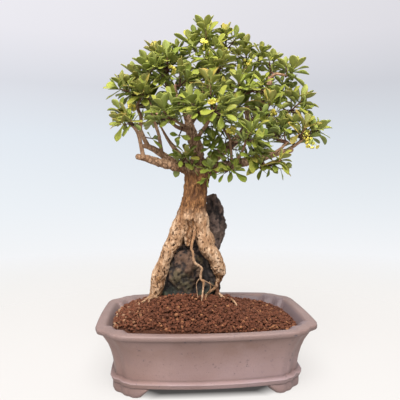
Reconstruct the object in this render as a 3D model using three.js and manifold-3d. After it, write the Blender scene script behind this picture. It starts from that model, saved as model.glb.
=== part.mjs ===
// A Korean barberry bonsai grown over a rock, in an unglazed rectangular clay pot.
// Millimetres, +Z up. While it is built, x = y = 0 is the middle of the pot, +X is to the right of the front
// view, -Y faces the viewer, and z = 0 is the surface that the pot stands on.
import * as THREE from "three";
import { mergeVertices } from "three/addons/utils/BufferGeometryUtils.js";
import Module from "manifold-3d";

const wasm = await Module();
wasm.setup();
const { Manifold } = wasm;

// Driving dimensions
// The pot's long and short sides bow out by bowX and bowY, between corners that are cut off by cut.
const POT = { width: 190, depth: 140, height: 56, bowX: 2.8, bowY: 9.4, cut: 14, cornerRound: 3.6, cornerNotch: 1.4 };
const FOOT = { height: 8, length: 26, slant: 7, wall: 9 };
const FLOOR_TOP = 12;
const DRAIN = { radius: 8, x: 42, sides: 12 };
const SCREEN = { side: 26, thick: 1.4, bars: 3, bar: 2.6 };
const GAP = 0.35; // between pieces that touch
// The soil's edge, the brow over it and the heap on that, and the low mound that the roots stand on.
const SOIL = {
  edge: 42.4, brow: 10.5, rise: 12.1, middle: [-15.5, -6.5], reach: [87, 60.5], round: 3.6, grain: 1.4, cell: 8.8,
};
const MOUND = { height: 8.8, at: [-34, -13.5], size: [60, 35] };
const LEAF = { length: 16, width: 0.56, thick: 0.7 };
const SHOOT = { length: 11, radius: 1.1, sides: 4 };
const TWIG = { radius: 1.1, sides: 3, steps: 2 };
const SEAT_DEPTH = 2; // how far short of a branch's end a twig on that end starts
const SPINE = { length: 8, radius: 0.75 };
const BLOOM = { stalk: 9, buds: 3, bud: 2.2 };
const UP = new THREE.Vector3(0, 0, 1);

// The pot's wall, from its underside round the rim to its floor: height, and how far the wall stands in from
// the rim's outer edge.
const POT_WALL = [
  [8, 14.4],
  [8.8, 12.5],
  [12.6, 12],
  [13.2, 12.4],
  [14.8, 14.6],
  [20, 14.2],
  [27, 13.2],
  [34, 11.5],
  [41, 9],
  [46, 6.3],
  [51.4, 2.6],
  [51.9, 0.4],
  [55.2, 0],
  [56, 1],
  [56, 7.4],
  [54, 9.2],
  [38, 16],
  [14, 20],
  [12, 22.5],
];

// Where the trunk and its roots run: points, the radius at each end or at each point, and sides.
const TRUNK = [
  { at: [[-13.4, 0, 136], [-12.6, 0, 143.5], [-10.4, 0, 152], [-8.8, 0, 159.3], [-8.2, 0, 166.7], [-7.7, 0, 175],
      [-6.5, 0, 183], [-6.5, 1, 190], [-7, 1, 197]],
    radius: [12, 13.6, 12, 10.9, 10.5, 10.4, 11.8, 10, 6.8], sides: 10, steps: 8 },
  // left root, straight down beside the stone
  { at: [[-14, 0, 154], [-18.5, -2, 144], [-24, -4, 134], [-28.2, -5, 122], [-33, -6, 114], [-37.7, -6, 102],
      [-40.9, -5, 92.5], [-43, -4, 83.4], [-45.4, -3, 72], [-47, -2, 57]],
    radius: [8.5, 9.2, 8.4, 7.6, 6.3, 6, 6.9, 6.9, 5.8, 5], sides: 8, steps: 9 },
  // right root, which bends under at its knee
  { at: [[-8, 0, 153], [-5.2, -3, 143], [-2.9, -5, 129], [0, -8, 121.5], [3.9, -9, 114], [9, -9, 106.6],
      [12.3, -8, 98.2], [13.8, -6, 92], [13.5, -5, 88], [12.2, -4, 83.5], [11, -5, 78], [11.6, -7, 70],
      [11.5, -8, 57]],
    radius: [8.5, 8.8, 8.2, 7.6, 7.2, 6.5, 6.6, 5.4, 3.4, 2, 2.2, 2.2, 2], sides: 8, steps: 12 },
  // the two short middle strands in the crotch
  { at: [[-12, -4, 146], [-14, -6, 135], [-15, -7, 126], [-15.6, -8, 118]], radius: [6.5, 5, 4, 2.4], sides: 6,
    steps: 3 },
  { at: [[-9, -4, 142], [-11, -7, 132], [-12, -8, 125]], radius: [5, 3.4, 1.8], sides: 6, steps: 2 },
  // rear root
  { at: [[-11, 5, 148], [-18, 18, 125], [-25, 28, 97], [-27, 30, 75], [-31, 34, 52]],
    radius: [7.8, 5.2, 4.1, 3.5, 2.5], sides: 6, steps: 4 },
];
const THIN_ROOTS = [
  // the one that hangs in front of the stone
  { at: [[-9.5, -9, 136], [-10.3, -14, 128], [-12.5, -18, 121.5], [-13.2, -20, 117], [-11.8, -21, 113],
      [-11.5, -22, 108], [-9.8, -22, 104.3], [-6.4, -22, 102], [-4.2, -22, 99.8], [-4.9, -22, 95.4],
      [-4.9, -22, 90.2], [-2.7, -22, 88], [-2.7, -22, 83.5], [-3.4, -22, 77.7], [-4.2, -22, 70],
      [-4.5, -21, 60]],
    radius: [1.7, 1.6, 1.5, 1.5, 1.4, 1.3, 1.4, 1.4, 1.3, 1.2, 1.3, 1.2, 1.1, 1.1, 1, 1], sides: 4, steps: 15 },
  { at: [[11.5, -5, 83], [9.5, -7, 79], [5.8, -9, 76.8], [0.9, -13, 74], [-1, -16, 68], [-1.5, -18, 60]],
    radius: [1.5, 1.2, 1.1, 1, 1, 1], sides: 4, steps: 5 },
  { at: [[-1, -3, 140], [1.5, -3, 134], [4.8, -3, 130], [7.3, -4, 126], [8.5, -5, 120]],
    radius: [1.3, 1.2, 1.1, 1.1, 1.3], sides: 4, steps: 4 },
];

// The branches, thick ones first. Each runs outwards, its radius falling from the first number to the second.
const BRANCHES = {
  left_low: { at: [[-7, 0, 185], [-17, 0, 187], [-30, -5, 189], [-44, -10, 193], [-54, -14, 197], [-61, -16, 198]],
    radius: [5.8, 2.7], sides: 6, steps: 5 },
  left_back: { at: [[-9, 4, 185], [-25, 11, 193], [-39, 13, 202], [-51, 11, 209], [-57, 11, 210]],
    radius: [4.5, 2], sides: 5, steps: 4 },
  left_outer: { at: [[-55, -14, 196], [-57, -17, 208], [-60, -21, 219], [-65, -25, 225]], radius: [2, 1.2],
    sides: 4, steps: 2 },
  left_rise: { at: [[-51, 11, 208], [-56, 7, 217], [-59, 5, 225], [-58, 2, 234], [-61, 0, 245], [-58, -2, 253],
      [-54, -4, 262], [-51, -4, 271]], radius: [2.2, 1.1], sides: 4, steps: 5 },
  left_inner: { at: [[-39, 12, 201], [-42, 6, 219], [-47, 2, 235], [-49, 0, 242]], radius: [1.8, 1.1], sides: 4, steps: 2 },
  centre: { at: [[-7, 0, 187], [-7, -2, 205], [-10, -4, 216], [-14, -4, 226], [-16, -4, 235]], radius: [6.8, 3.1],
    sides: 7, steps: 4 },
  centre_left: { at: [[-15, -5, 222], [-26, -12, 225], [-34, -15, 231], [-48, -17, 237]], radius: [1.8, 1], sides: 4, steps: 2 },
  upper_left: { at: [[-16, -4, 231], [-20, -8, 243], [-26, -11, 254], [-27, -12, 262]], radius: [2.5, 1.2], sides: 4, steps: 2 },
  upper_back_left: { at: [[-19, -6, 241], [-28, 2, 256], [-36, 4, 268], [-39, 3, 279]], radius: [1.8, 1], sides: 4, steps: 2 },
  leader: { at: [[-15, -3, 232], [-8, 2, 246], [1, 4, 261], [8, 4, 274], [9, 4, 282], [4, 2, 291], [1, 0, 299]],
    radius: [2.8, 1.2], sides: 5, steps: 6 },
  leader_fork: { at: [[9, 4, 277], [17, 7, 290], [22, 7, 302]], radius: [1.5, 1], sides: 4, steps: 2 },
  right_high: { at: [[-3, 4, 185], [9, 13, 198], [19, 17, 206], [34, 17, 218], [43, 12, 229], [51, 6, 237],
      [55, 1, 249], [59, -4, 263], [60, -5, 272]], radius: [5.8, 1.9], sides: 6, steps: 7 },
  right_high_tip: { at: [[60, -5, 270], [64, -8, 274], [72, -12, 272]], radius: [1.6, 1], sides: 4, steps: 2 },
  right_back: { at: [[43, 12, 228], [42, 15, 250], [44, 15, 266], [48, 12, 279], [49, 10, 289]], radius: [2.5, 1.1],
    sides: 4, steps: 4 },
  right_back_fork: { at: [[42, 15, 254], [35, 12, 268], [30, 9, 279]], radius: [1.6, 1], sides: 4, steps: 2 },
  right_low: { at: [[-5, 0, 184], [10, -7, 189], [24, -12, 191], [36, -16, 194], [46, -18, 196], [62, -21, 201],
      [76, -23, 204]], radius: [5.8, 2.2], sides: 6, steps: 6 },
  right_low_fork: { at: [[50, -18, 196], [62, -27, 203], [70, -32, 210]], radius: [1.6, 1], sides: 4, steps: 2 },
  right_low_tip: { at: [[70, -22, 202], [82, -25, 211], [86, -26, 214]], radius: [1.6, 1], sides: 5, steps: 2 },
  right_mid: { at: [[50, 7, 235], [60, 0, 234], [70, -6, 236], [78, -9, 241]], radius: [2.1, 1.1], sides: 4, steps: 2 },
  right_drop: { at: [[49, -18, 196], [52, -23, 190], [55, -26, 189]], radius: [1.5, 1], sides: 4, steps: 2 },
  right_rise: { at: [[24, -12, 190], [22, -20, 201], [20, -24, 214], [14, -27, 222]], radius: [1.5, 1], sides: 4, steps: 2 },
  back_left: { at: [[-9, 2, 187], [-21, 28, 202], [-33, 46, 219], [-42, 56, 236]], radius: [3.5, 1.2], sides: 5,
    steps: 4 },
  back_right: { at: [[-3, 5, 187], [18, 33, 203], [39, 50, 222], [55, 57, 244]], radius: [3.7, 1.2], sides: 5,
    steps: 4 },
  back_middle: { at: [[-14, -2, 227], [-5, 18, 243], [0, 34, 264], [6, 42, 281]], radius: [2.3, 1.1], sides: 4, steps: 2 },
  front_right: { at: [[-9, -5, 213], [-3, -24, 221], [2, -36, 229], [4, -42, 234]], radius: [2, 1.1], sides: 4, steps: 2 },
  front_left: { at: [[-14, -5, 224], [-22, -20, 226], [-30, -30, 229]], radius: [1.8, 1], sides: 4, steps: 2 },
  front_low: { at: [[24, -12, 190], [29, -32, 200], [31, -42, 208]], radius: [1.6, 1], sides: 4, steps: 2 },
};

// Where each leafy spray's crown of leaves sits. Those of the front half were placed by eye from the picture.
const SPRAYS = [
  [1, -4, 313], [-13, 0, 302], [21, 6, 311], [-25, 7, 299], [-45, 3, 294], [-34, -12, 285], [-52, -8, 278],
  [-64, 2, 273], [-72, -8, 258], [-56, -16, 253], [-75, -16, 238], [-67, -29, 230], [-17, -16, 198],
  [39, 6, 301], [55, 8, 298], [65, 1, 289], [45, -36, 189], [79, -12, 276], [82, 4, 262], [87, -13, 249],
  [84, -34, 222], [98, -27, 221], [66, -22, 225], [55, -26, 244], [-23, -20, 271], [3, -30, 260],
  [15, -14, 283], [28, -25, 262], [20, -40, 235], [35, -46, 216], [-37, -38, 234], [-14, -38, 241],
  [6, -50, 237], [44, -36, 201], [62, -38, 194], [25, -27, 184], [4, -22, 186], [-44, 60, 242],
  [-28, 38, 265], [-57, 32, 256], [-11, 44, 286], [18, 36, 293], [34, 52, 266], [61, 60, 251],
  [68, 32, 271],
];
// Flower racemes: where the flowers hang.
const BLOOMS = [
  [-19, -22, 284], [4, -44, 243], [31, -44, 223], [59, -36, 239], [94, -30, 234], [-78, -16, 250], [35, -28, 292],
  [95, -34, 206], [-3, -26, 294],
];

// A repeatable stream of numbers from 0 to 1.
function seeded(seed) {
  let state = seed >>> 0;
  return () => {
    state = (state + 0x6d2b79f5) >>> 0;
    let mixed = Math.imul(state ^ (state >>> 15), 1 | state);
    mixed = (mixed + Math.imul(mixed ^ (mixed >>> 7), 61 | mixed)) ^ mixed;
    return ((mixed ^ (mixed >>> 14)) >>> 0) / 4294967296;
  };
}

const point = (p) => new THREE.Vector3(p[0], p[1], p[2]);
const mix = THREE.MathUtils.lerp;

// A closed geometry as a solid that can be joined and cut.
function solidOf(geometry) {
  const bare = new THREE.BufferGeometry();
  bare.setAttribute("position", geometry.getAttribute("position"));
  if (geometry.index) bare.setIndex(geometry.index);
  const merged = mergeVertices(bare, 1e-4);
  return new Manifold(
    new wasm.Mesh({
      numProp: 3,
      vertProperties: merged.attributes.position.array,
      triVerts: new Uint32Array(merged.index.array),
    }),
  );
}

function meshOf(name, solid, material) {
  const { vertProperties, triVerts } = solid.getMesh();
  const geometry = new THREE.BufferGeometry();
  geometry.setAttribute("position", new THREE.BufferAttribute(vertProperties, 3));
  geometry.setIndex(new THREE.BufferAttribute(triVerts, 1));
  geometry.computeVertexNormals();
  const mesh = new THREE.Mesh(geometry, material);
  mesh.name = name;
  return mesh;
}

// The largest of the bodies that a cut leaves.
function largest(solid) {
  return solid.decompose().reduce((best, body) => (body.volume() > best.volume() ? body : best));
}

// The value of a list of numbers at a share of its length, or of a number anywhere.
function along(values, share) {
  if (!Array.isArray(values)) return values;
  const place = share * (values.length - 1);
  const low = Math.min(Math.floor(place), values.length - 2);
  return mix(values[low], values[low + 1], place - low);
}

const curveOf = (limb) => new THREE.CatmullRomCurve3(limb.at.map(point), false, "centripetal");

// A tapered limb: a capped cylinder whose rings are moved along a smooth curve. Grown, it is thicker and longer.
function limbSolid(limb, grow = 0) {
  const curve = curveOf(limb);
  const frames = curve.computeFrenetFrames(limb.steps, false);
  const tube = new THREE.CylinderGeometry(1, 1, 1, limb.sides, limb.steps);
  const place = tube.getAttribute("position");
  for (let i = 0; i < place.count; i++) {
    const ring = Math.round((place.getY(i) + 0.5) * limb.steps);
    const radius = along(limb.radius, ring / limb.steps) + grow;
    const past = ring === 0 ? -grow : ring === limb.steps ? grow : 0;
    const moved = curve
      .getPoint(ring / limb.steps)
      .addScaledVector(frames.tangents[ring], past)
      .addScaledVector(frames.binormals[ring], place.getX(i) * radius)
      .addScaledVector(frames.normals[ring], place.getZ(i) * radius);
    place.setXYZ(i, moved.x, moved.y, moved.z);
  }
  return solidOf(tube);
}

// The pot's outline at one height: a rectangle with bowed sides, whose cut corners are drawn in a little at
// their middles.
function potRing(inset, z) {
  const halfWidth = POT.width / 2 - POT.bowX - inset;
  const halfDepth = POT.depth / 2 - POT.bowY - inset;
  const cut = POT.cut - inset * 0.3;
  const round = Math.min(POT.cornerRound, cut * 0.3);
  const bend = round * Math.SQRT1_2;
  const notch = POT.cornerNotch * Math.SQRT1_2;
  const bowed = (share, bow) => bow * (1 - share * share);
  // a quarter of the outline, from the middle of a long side to the middle of a short one
  const quarter = [
    [0, halfDepth + POT.bowY],
    [0.6 * (halfWidth - cut), halfDepth + bowed(0.6, POT.bowY)],
    [halfWidth - cut - round, halfDepth + bowed(1 - round / halfWidth, POT.bowY)],
    [halfWidth - cut + bend, halfDepth - bend],
    [halfWidth - cut / 2 - notch, halfDepth - cut / 2 - notch],
    [halfWidth - bend, halfDepth - cut + bend],
    [halfWidth + bowed(1 - round / halfDepth, POT.bowX), halfDepth - cut - round],
    [halfWidth + POT.bowX, 0],
  ];
  const back = [...quarter].reverse();
  return [
    ...back.map(([x, y]) => [x, y, z]),
    ...quarter.slice(1).map(([x, y]) => [-x, y, z]),
    ...back.slice(1).map(([x, y]) => [-x, -y, z]),
    ...quarter.slice(1, -1).map(([x, y]) => [x, -y, z]),
  ];
}

// A closed skin over a stack of rings that all run the same way round.
function loft(rings) {
  const count = rings[0].length;
  const positions = rings.flat(2);
  const faces = [];
  for (let r = 0; r + 1 < rings.length; r++)
    for (let i = 0; i < count; i++) {
      const next = (i + 1) % count;
      const [a, b, c, d] = [r * count + i, r * count + next, (r + 1) * count + next, (r + 1) * count + i];
      faces.push(a, b, c, a, c, d);
    }
  for (const [r, turned] of [[0, true], [rings.length - 1, false]]) {
    const flat = rings[r].map(([x, y]) => new THREE.Vector2(x, y));
    for (const [a, b, c] of THREE.ShapeUtils.triangulateShape(flat, []))
      faces.push(r * count + a, r * count + (turned ? c : b), r * count + (turned ? b : c));
  }
  const geometry = new THREE.BufferGeometry();
  geometry.setAttribute("position", new THREE.Float32BufferAttribute(positions, 3));
  geometry.setIndex(faces);
  return solidOf(geometry);
}

const block = (width, depth, height, x, y, z) =>
  solidOf(new THREE.BoxGeometry(width, depth, height).translate(x, y, z));

// The gap between two feet, as a prism along Y that is narrower at its top.
function footGap(halfGap, length) {
  const shape = new THREE.Shape([
    new THREE.Vector2(-halfGap, -1),
    new THREE.Vector2(halfGap, -1),
    new THREE.Vector2(halfGap - FOOT.slant, FOOT.height),
    new THREE.Vector2(-halfGap + FOOT.slant, FOOT.height),
  ]);
  const prism = new THREE.ExtrudeGeometry(shape, { depth: length, bevelEnabled: false, steps: 1 });
  return prism.rotateX(Math.PI / 2).translate(0, length / 2, 0);
}

function potSolid() {
  const cup = loft(POT_WALL.map(([z, inset]) => potRing(inset, z)));
  const under = loft([potRing(14.6, 0), potRing(13.2, 2.4), potRing(13.8, FOOT.height + 0.6)]);
  const inside = loft([potRing(13.2 + FOOT.wall, -1), potRing(13.2 + FOOT.wall, FOOT.height)]);
  const reachX = POT.width / 2 - 13;
  const reachY = POT.depth / 2 - 13;
  const feet = under
    .subtract(inside)
    .subtract(solidOf(footGap(reachX - FOOT.length, POT.depth)))
    .subtract(solidOf(footGap(reachY - FOOT.length * 0.8, POT.width).rotateZ(Math.PI / 2)));
  let pot = cup.add(feet);
  for (const side of [-1, 1]) {
    const hole = new THREE.CylinderGeometry(DRAIN.radius, DRAIN.radius, FLOOR_TOP * 2, DRAIN.sides);
    pot = pot.subtract(solidOf(hole.rotateX(Math.PI / 2).translate(side * DRAIN.x, 0, FLOOR_TOP)));
  }
  return pot;
}

// The plastic screen that keeps the soil in over a drain hole.
function screenSolid(side) {
  const open = (SCREEN.side - SCREEN.bars * SCREEN.bar) / (SCREEN.bars - 1);
  const level = FLOOR_TOP + GAP + SCREEN.thick / 2;
  const middle = (SCREEN.bars - 2) / 2;
  let sheet = block(SCREEN.side, SCREEN.side, SCREEN.thick, side * DRAIN.x, 0, level);
  for (let i = 0; i + 1 < SCREEN.bars; i++)
    for (let j = 0; j + 1 < SCREEN.bars; j++) {
      const [x, y] = [(i - middle) * (open + SCREEN.bar), (j - middle) * (open + SCREEN.bar)];
      sheet = sheet.subtract(block(open, open, SCREEN.thick * 2, side * DRAIN.x + x, y, level));
    }
  return sheet;
}

// Rough bumps for stone: a few waves at different scales.
function rough(p, scale) {
  const [x, y, z] = [p.x / scale, p.y / scale, p.z / scale];
  return (
    Math.sin(x * 2.1 + 1.3 * Math.sin(y * 1.7)) * Math.cos(z * 1.9 + 0.8) +
    0.6 * Math.sin(y * 3.7 + 2.1 * z + 0.5) * Math.cos(x * 3.1 - z) +
    0.4 * Math.sin(z * 6.3 + x * 2.3) * Math.cos(y * 5.1 + 1.1)
  );
}

// One lump of the stone: a faceted ball, stretched, leaned and roughened.
function lump({ at, size, lean, bump, detail }, grow) {
  const ball = new THREE.IcosahedronGeometry(1, detail);
  const place = ball.getAttribute("position");
  for (let i = 0; i < place.count; i++) {
    const unit = new THREE.Vector3().fromBufferAttribute(place, i);
    const square = 1 + 0.16 * (1 - Math.max(Math.abs(unit.x), Math.abs(unit.y), Math.abs(unit.z)));
    const p = unit.clone().multiply(point(size)).multiplyScalar(square);
    p.addScaledVector(unit, grow + bump * rough(p.clone().add(point(at)), 9));
    p.x += lean * p.z;
    place.setXYZ(i, p.x + at[0], p.y + at[1], p.z + at[2]);
  }
  return solidOf(ball);
}

const STONE = [
  { at: [-19, 3, 94], size: [19.5, 14.5, 24], lean: 0.1, bump: 1.6, detail: 2 },
  { at: [0, 9, 94], size: [16, 15.5, 30], lean: -0.1, bump: 1.7, detail: 2 },
  { at: [9.5, 24, 136], size: [12.5, 13, 30], lean: 0.05, bump: 1.8, detail: 2 },
  { at: [6, 22, 98], size: [11, 13, 34], lean: 0, bump: 1.6, detail: 1 },
  { at: [-15, 9.5, 60], size: [28, 24, 24], lean: 0, bump: 2, detail: 1 },
];

const stoneSolid = (grow) => Manifold.union(STONE.map((part) => lump(part, grow)));

// The heap's height: steep near the pot's wall, then rising gently to a mound left of the middle.
function soilHeight(x, y) {
  const [offX, offY] = [x - SOIL.middle[0], y - SOIL.middle[1]];
  const across = Math.abs(offX) / (SOIL.reach[0] - Math.sign(offX) * SOIL.middle[0]);
  const along = Math.abs(offY) / SOIL.reach[1];
  const away = Math.min(1, (across ** SOIL.round + along ** SOIL.round) ** (1 / SOIL.round));
  const mound = Math.exp(-(((x - MOUND.at[0]) / MOUND.size[0]) ** 4) - ((y - MOUND.at[1]) / MOUND.size[1]) ** 2);
  const heap = SOIL.brow * (1 - away ** 9) + SOIL.rise * (1 - away ** 1.4);
  return SOIL.edge + heap + MOUND.height * mound;
}

// The soil: what fills the pot's inside, under a mound whose top is raised in grains.
function soilSolid() {
  const random = seeded(11);
  const [width, depth] = [POT.width, POT.depth];
  const [columns, rows] = [Math.round(width / SOIL.cell), Math.round(depth / SOIL.cell)];
  const heap = new THREE.BoxGeometry(width, depth, 1, columns, rows, 1);
  const place = heap.getAttribute("position");
  const grains = new Map();
  for (let i = 0; i < place.count; i++) {
    const [x, y, top] = [place.getX(i), place.getY(i), place.getZ(i) > 0];
    const key = [x.toFixed(2), y.toFixed(2)].join();
    if (!grains.has(key)) grains.set(key, [random() - 0.5, random() - 0.5, random() * 2 - 1]);
    const [shiftX, shiftY, lift] = grains.get(key);
    const [px, py] = [x + shiftX * SOIL.cell * 0.5, y + shiftY * SOIL.cell * 0.5];
    if (top) place.setXYZ(i, px, py, soilHeight(px, py) + lift * SOIL.grain);
    else place.setXYZ(i, px, py, 1);
  }
  const inside = POT_WALL.slice(-4).reverse().map(([z, inset]) => potRing(inset + GAP, z + GAP));
  inside.push(potRing(12 + GAP, 90));
  let soil = solidOf(heap).intersect(loft(inside));
  for (const side of [-1, 1]) {
    const room = SCREEN.side + 2 * GAP;
    soil = soil.subtract(block(room, room, 6, side * DRAIN.x, 0, FLOOR_TOP + SCREEN.thick + 2 * GAP - 3));
  }
  return soil;
}

// The middles of every branch's rings, which twigs can grow from.
const nodesOnBranches = Object.values(BRANCHES).flatMap((limb) => {
  const curve = curveOf(limb);
  return Array.from({ length: limb.steps }, (_, ring) => (ring + 1) / limb.steps).map((share) => ({
    at: curve.getPoint(share).addScaledVector(curve.getTangent(share), -SEAT_DEPTH),
    radius: along(limb.radius, share),
  }));
});

// The place on a branch that a point is best carried from: near, and rather below it than above.
function seatFor(target) {
  const cost = ({ at }) => at.distanceTo(target) + 0.7 * Math.max(0, at.z - target.z);
  return nodesOnBranches.reduce((best, node) => (cost(node) < cost(best) ? node : best));
}

// Each spray's twig, the way its shoot points, and where the shoot starts.
const MIDDLE = new THREE.Vector3(1, 5, 230);
const sprays = SPRAYS.map((at, index) => {
  const crown = point(at);
  const seat = seatFor(crown);
  const out = crown.clone().sub(MIDDLE).normalize();
  const reach = crown.clone().sub(seat.at);
  const way = out.multiplyScalar(0.55).add(UP.clone().multiplyScalar(0.45));
  way.addScaledVector(reach, 0.9 / reach.length()).normalize();
  const length = Math.min(SHOOT.length, Math.max(6, reach.length() - 4));
  const start = crown.clone().addScaledVector(way, -length);
  const run = seat.at.distanceTo(start);
  const middle = seat.at.clone().lerp(start, 0.45).addScaledVector(UP, 0.06 * run);
  const last = start.clone().addScaledVector(way, -Math.min(2.5, 0.3 * run));
  const twig = {
    at: [seat.at, middle, last, start].map((p) => p.toArray()),
    radius: [Math.min(seat.radius * 0.6, 1.3), TWIG.radius, TWIG.radius],
    sides: TWIG.sides,
    steps: TWIG.steps,
  };
  return { name: `spray_${String(index + 1).padStart(2, "0")}`, index, crown, way, start, length, twig };
});

// A thorn that stands on a twig.
function spineSolid(spray) {
  const curve = curveOf(spray.twig);
  const base = curve.getPoint(0.5);
  const random = seeded(900 + spray.index);
  const side = new THREE.Vector3(random() - 0.5, random() - 0.5, random() - 0.2).cross(curve.getTangent(0.5));
  const spike = new THREE.ConeGeometry(SPINE.radius, SPINE.length, 3);
  const turn = new THREE.Quaternion().setFromUnitVectors(new THREE.Vector3(0, 1, 0), side.normalize());
  spike.translate(0, SPINE.length / 2 - 0.3, 0).applyQuaternion(turn).translate(base.x, base.y, base.z);
  return solidOf(spike);
}

const rootsSolid = (grow) => Manifold.union([...TRUNK, ...THIN_ROOTS].map((limb) => limbSolid(limb, grow)));

function treeSolid() {
  const branches = Object.values(BRANCHES).map((limb) => limbSolid(limb));
  const twigs = sprays.map((spray) => limbSolid(spray.twig));
  const spines = sprays.filter((spray) => spray.index % 3 === 0).map(spineSolid);
  return Manifold.union([rootsSolid(0), ...branches, ...twigs, ...spines]);
}

// A barberry leaf: narrow at its foot and broad near its blunt end, with its edges turned up.
function leafSolid(foot, way, face, length, spread = 0) {
  const half = LEAF.width / 2;
  const outline = [[half, 0.66], [0.45 * half, 1], [-0.45 * half, 1], [-half, 0.66], [0, 0]];
  const shape = new THREE.Shape(outline.map(([x, y]) => new THREE.Vector2(x, y)));
  const blade = new THREE.ExtrudeGeometry(shape, { depth: 1, bevelEnabled: false, steps: 1 });
  const across = new THREE.Vector3().crossVectors(way, face);
  const place = blade.getAttribute("position");
  for (let i = 0; i < place.count; i++) {
    const [x, y, level] = [place.getX(i), place.getY(i), place.getZ(i) - 0.5];
    const lift = (0.9 * x * x * 4 - 0.16 * y * y) * length * 0.5 + level * (LEAF.thick + spread);
    const moved = foot
      .clone()
      .addScaledVector(way, y * length + (y - 0.5) * spread)
      .addScaledVector(across, x * (length + 2 * spread))
      .addScaledVector(face, lift);
    place.setXYZ(i, moved.x, moved.y, moved.z);
  }
  return solidOf(blade);
}

// How a spray's leaves stand: lower leaves spread wide, and upper ones closer to the shoot.
const TIERS = [
  { count: 2, share: 0.35, pitch: 72, size: 0.92 },
  { count: 3, share: 0.75, pitch: 58, size: 1 },
  { count: 1, share: 1, pitch: 20, size: 0.8 },
];

function leafPlans(spray) {
  const random = seeded(100 + spray.index);
  const side = new THREE.Vector3().crossVectors(spray.way, Math.abs(spray.way.z) > 0.9 ? new THREE.Vector3(0, 1, 0) : UP);
  side.normalize();
  const other = new THREE.Vector3().crossVectors(spray.way, side);
  const plans = [];
  let turn = random() * 2 * Math.PI;
  for (const tier of TIERS) {
    for (let k = 0; k < tier.count; k++) {
      const angle = turn + ((k + (random() - 0.5) * 0.3) * 2 * Math.PI) / tier.count;
      const pitch = THREE.MathUtils.degToRad(tier.pitch + (random() - 0.5) * 16);
      const length = LEAF.length * tier.size * (0.86 + 0.28 * random());
      plans.push({ angle, pitch, length, share: tier.share, side, other });
    }
    turn += 0.9;
  }
  return plans;
}

function plannedLeaf(spray, plan, bend, spread) {
  const outward = plan.side.clone().multiplyScalar(Math.cos(plan.angle + bend.turn));
  outward.addScaledVector(plan.other, Math.sin(plan.angle + bend.turn));
  const pitch = plan.pitch + bend.pitch;
  const way = spray.way.clone().multiplyScalar(Math.cos(pitch)).addScaledVector(outward, Math.sin(pitch));
  const face = spray.way.clone().addScaledVector(way, -spray.way.dot(way)).normalize();
  const foot = spray.start.clone().lerp(spray.crown, plan.share);
  return leafSolid(foot, way, face, plan.length * bend.size, spread);
}

// Ways to move a leaf that would cross something, mildest first.
const BENDS = [
  { turn: 0, pitch: 0, size: 1 },
  { turn: 0.25, pitch: -0.15, size: 1 },
  { turn: -0.25, pitch: 0.15, size: 1 },
  { turn: 0.45, pitch: -0.3, size: 0.95 },
  { turn: -0.45, pitch: -0.35, size: 0.9 },
  { turn: 0, pitch: -0.55, size: 0.85 },
  { turn: 0.2, pitch: 0.3, size: 0.75 },
];

const boxesMeet = (a, b) =>
  a.min.every((low, k) => low <= b.max[k] && b.min[k] <= a.max[k]);

function crosses(solid, others) {
  const box = solid.boundingBox();
  return others.some((other) => boxesMeet(box, other.box) && !solid.intersect(other.solid).isEmpty());
}

const kept = (solid) => ({ solid, box: solid.boundingBox() });

function shootSolid(spray, grow = 0) {
  const ends = [spray.start.clone().addScaledVector(spray.way, GAP), spray.crown.clone().addScaledVector(spray.way, 1)];
  return limbSolid({ at: ends.map((p) => p.toArray()), radius: SHOOT.radius, sides: SHOOT.sides, steps: 1 }, grow);
}

// A spray's shoot with the leaves on it, each bent clear of all that is already there.
function spraySolid(spray, others) {
  const leaves = [];
  for (const plan of leafPlans(spray)) {
    const bend = BENDS.find((way) => !crosses(plannedLeaf(spray, plan, way, 2 * GAP), others));
    if (bend) leaves.push(plannedLeaf(spray, plan, bend, 0));
  }
  return Manifold.union([shootSolid(spray), ...leaves]);
}

// Where a raceme could leave the wood, nearest to its flowers first.
function bloomSeats(target) {
  const woods = [...Object.values(BRANCHES), ...sprays.map((spray) => spray.twig)].flatMap((limb) => {
    const curve = curveOf(limb);
    return [0.3, 0.5, 0.7, 0.85].map((share) => ({ at: curve.getPoint(share), radius: along(limb.radius, share) }));
  });
  return woods.sort((a, b) => a.at.distanceTo(target) - b.at.distanceTo(target)).slice(0, 12);
}

// A raceme: a stalk that stands off the wood, with round yellow buds at its end.
function bloomSolid({ start, way }, index, grow = 0) {
  const random = seeded(500 + index);
  const end = start.clone().addScaledVector(way, BLOOM.stalk);
  const stalk = { at: [start.toArray(), end.toArray()], radius: [0.7, 0.6], sides: 4, steps: 1 };
  const buds = Array.from({ length: BLOOM.buds }, (_, k) => {
    const turn = k * 2.4;
    const off = new THREE.Vector3(Math.cos(turn), Math.sin(turn), 0.4 - 0.8 * random()).multiplyScalar(1.35);
    const place = end.clone().addScaledVector(way, (k - BLOOM.buds + 1) * 1.9).add(off);
    const ball = new THREE.IcosahedronGeometry(BLOOM.bud * (0.85 + 0.3 * random()) + grow, 0);
    return solidOf(ball.translate(place.x, place.y, place.z));
  });
  return Manifold.union([limbSolid(stalk, grow), ...buds]);
}

// The first of a raceme's places where it crosses nothing, with its stalk brought up to the bark.
function bloomPlace(at, index, others) {
  const target = point(at);
  const wood = others[0].solid;
  const places = bloomSeats(target).map((seat) => {
    const way = target.clone().sub(seat.at).normalize();
    const start = seat.at.clone().addScaledVector(way, seat.radius + 2 * GAP);
    for (let step = 0; step < 3; step++)
      start.addScaledVector(way, GAP - bloomSolid({ start, way }, index).minGap(wood, 8));
    return { start, way };
  });
  const isClear = (place) =>
    bloomSolid(place, index).minGap(wood, 1) > GAP * 0.8 && !crosses(bloomSolid(place, index, GAP), others.slice(1));
  const clear = places.find(isClear);
  if (!clear) throw new Error(`no clear place for raceme ${index + 1}`);
  return clear;
}

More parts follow.
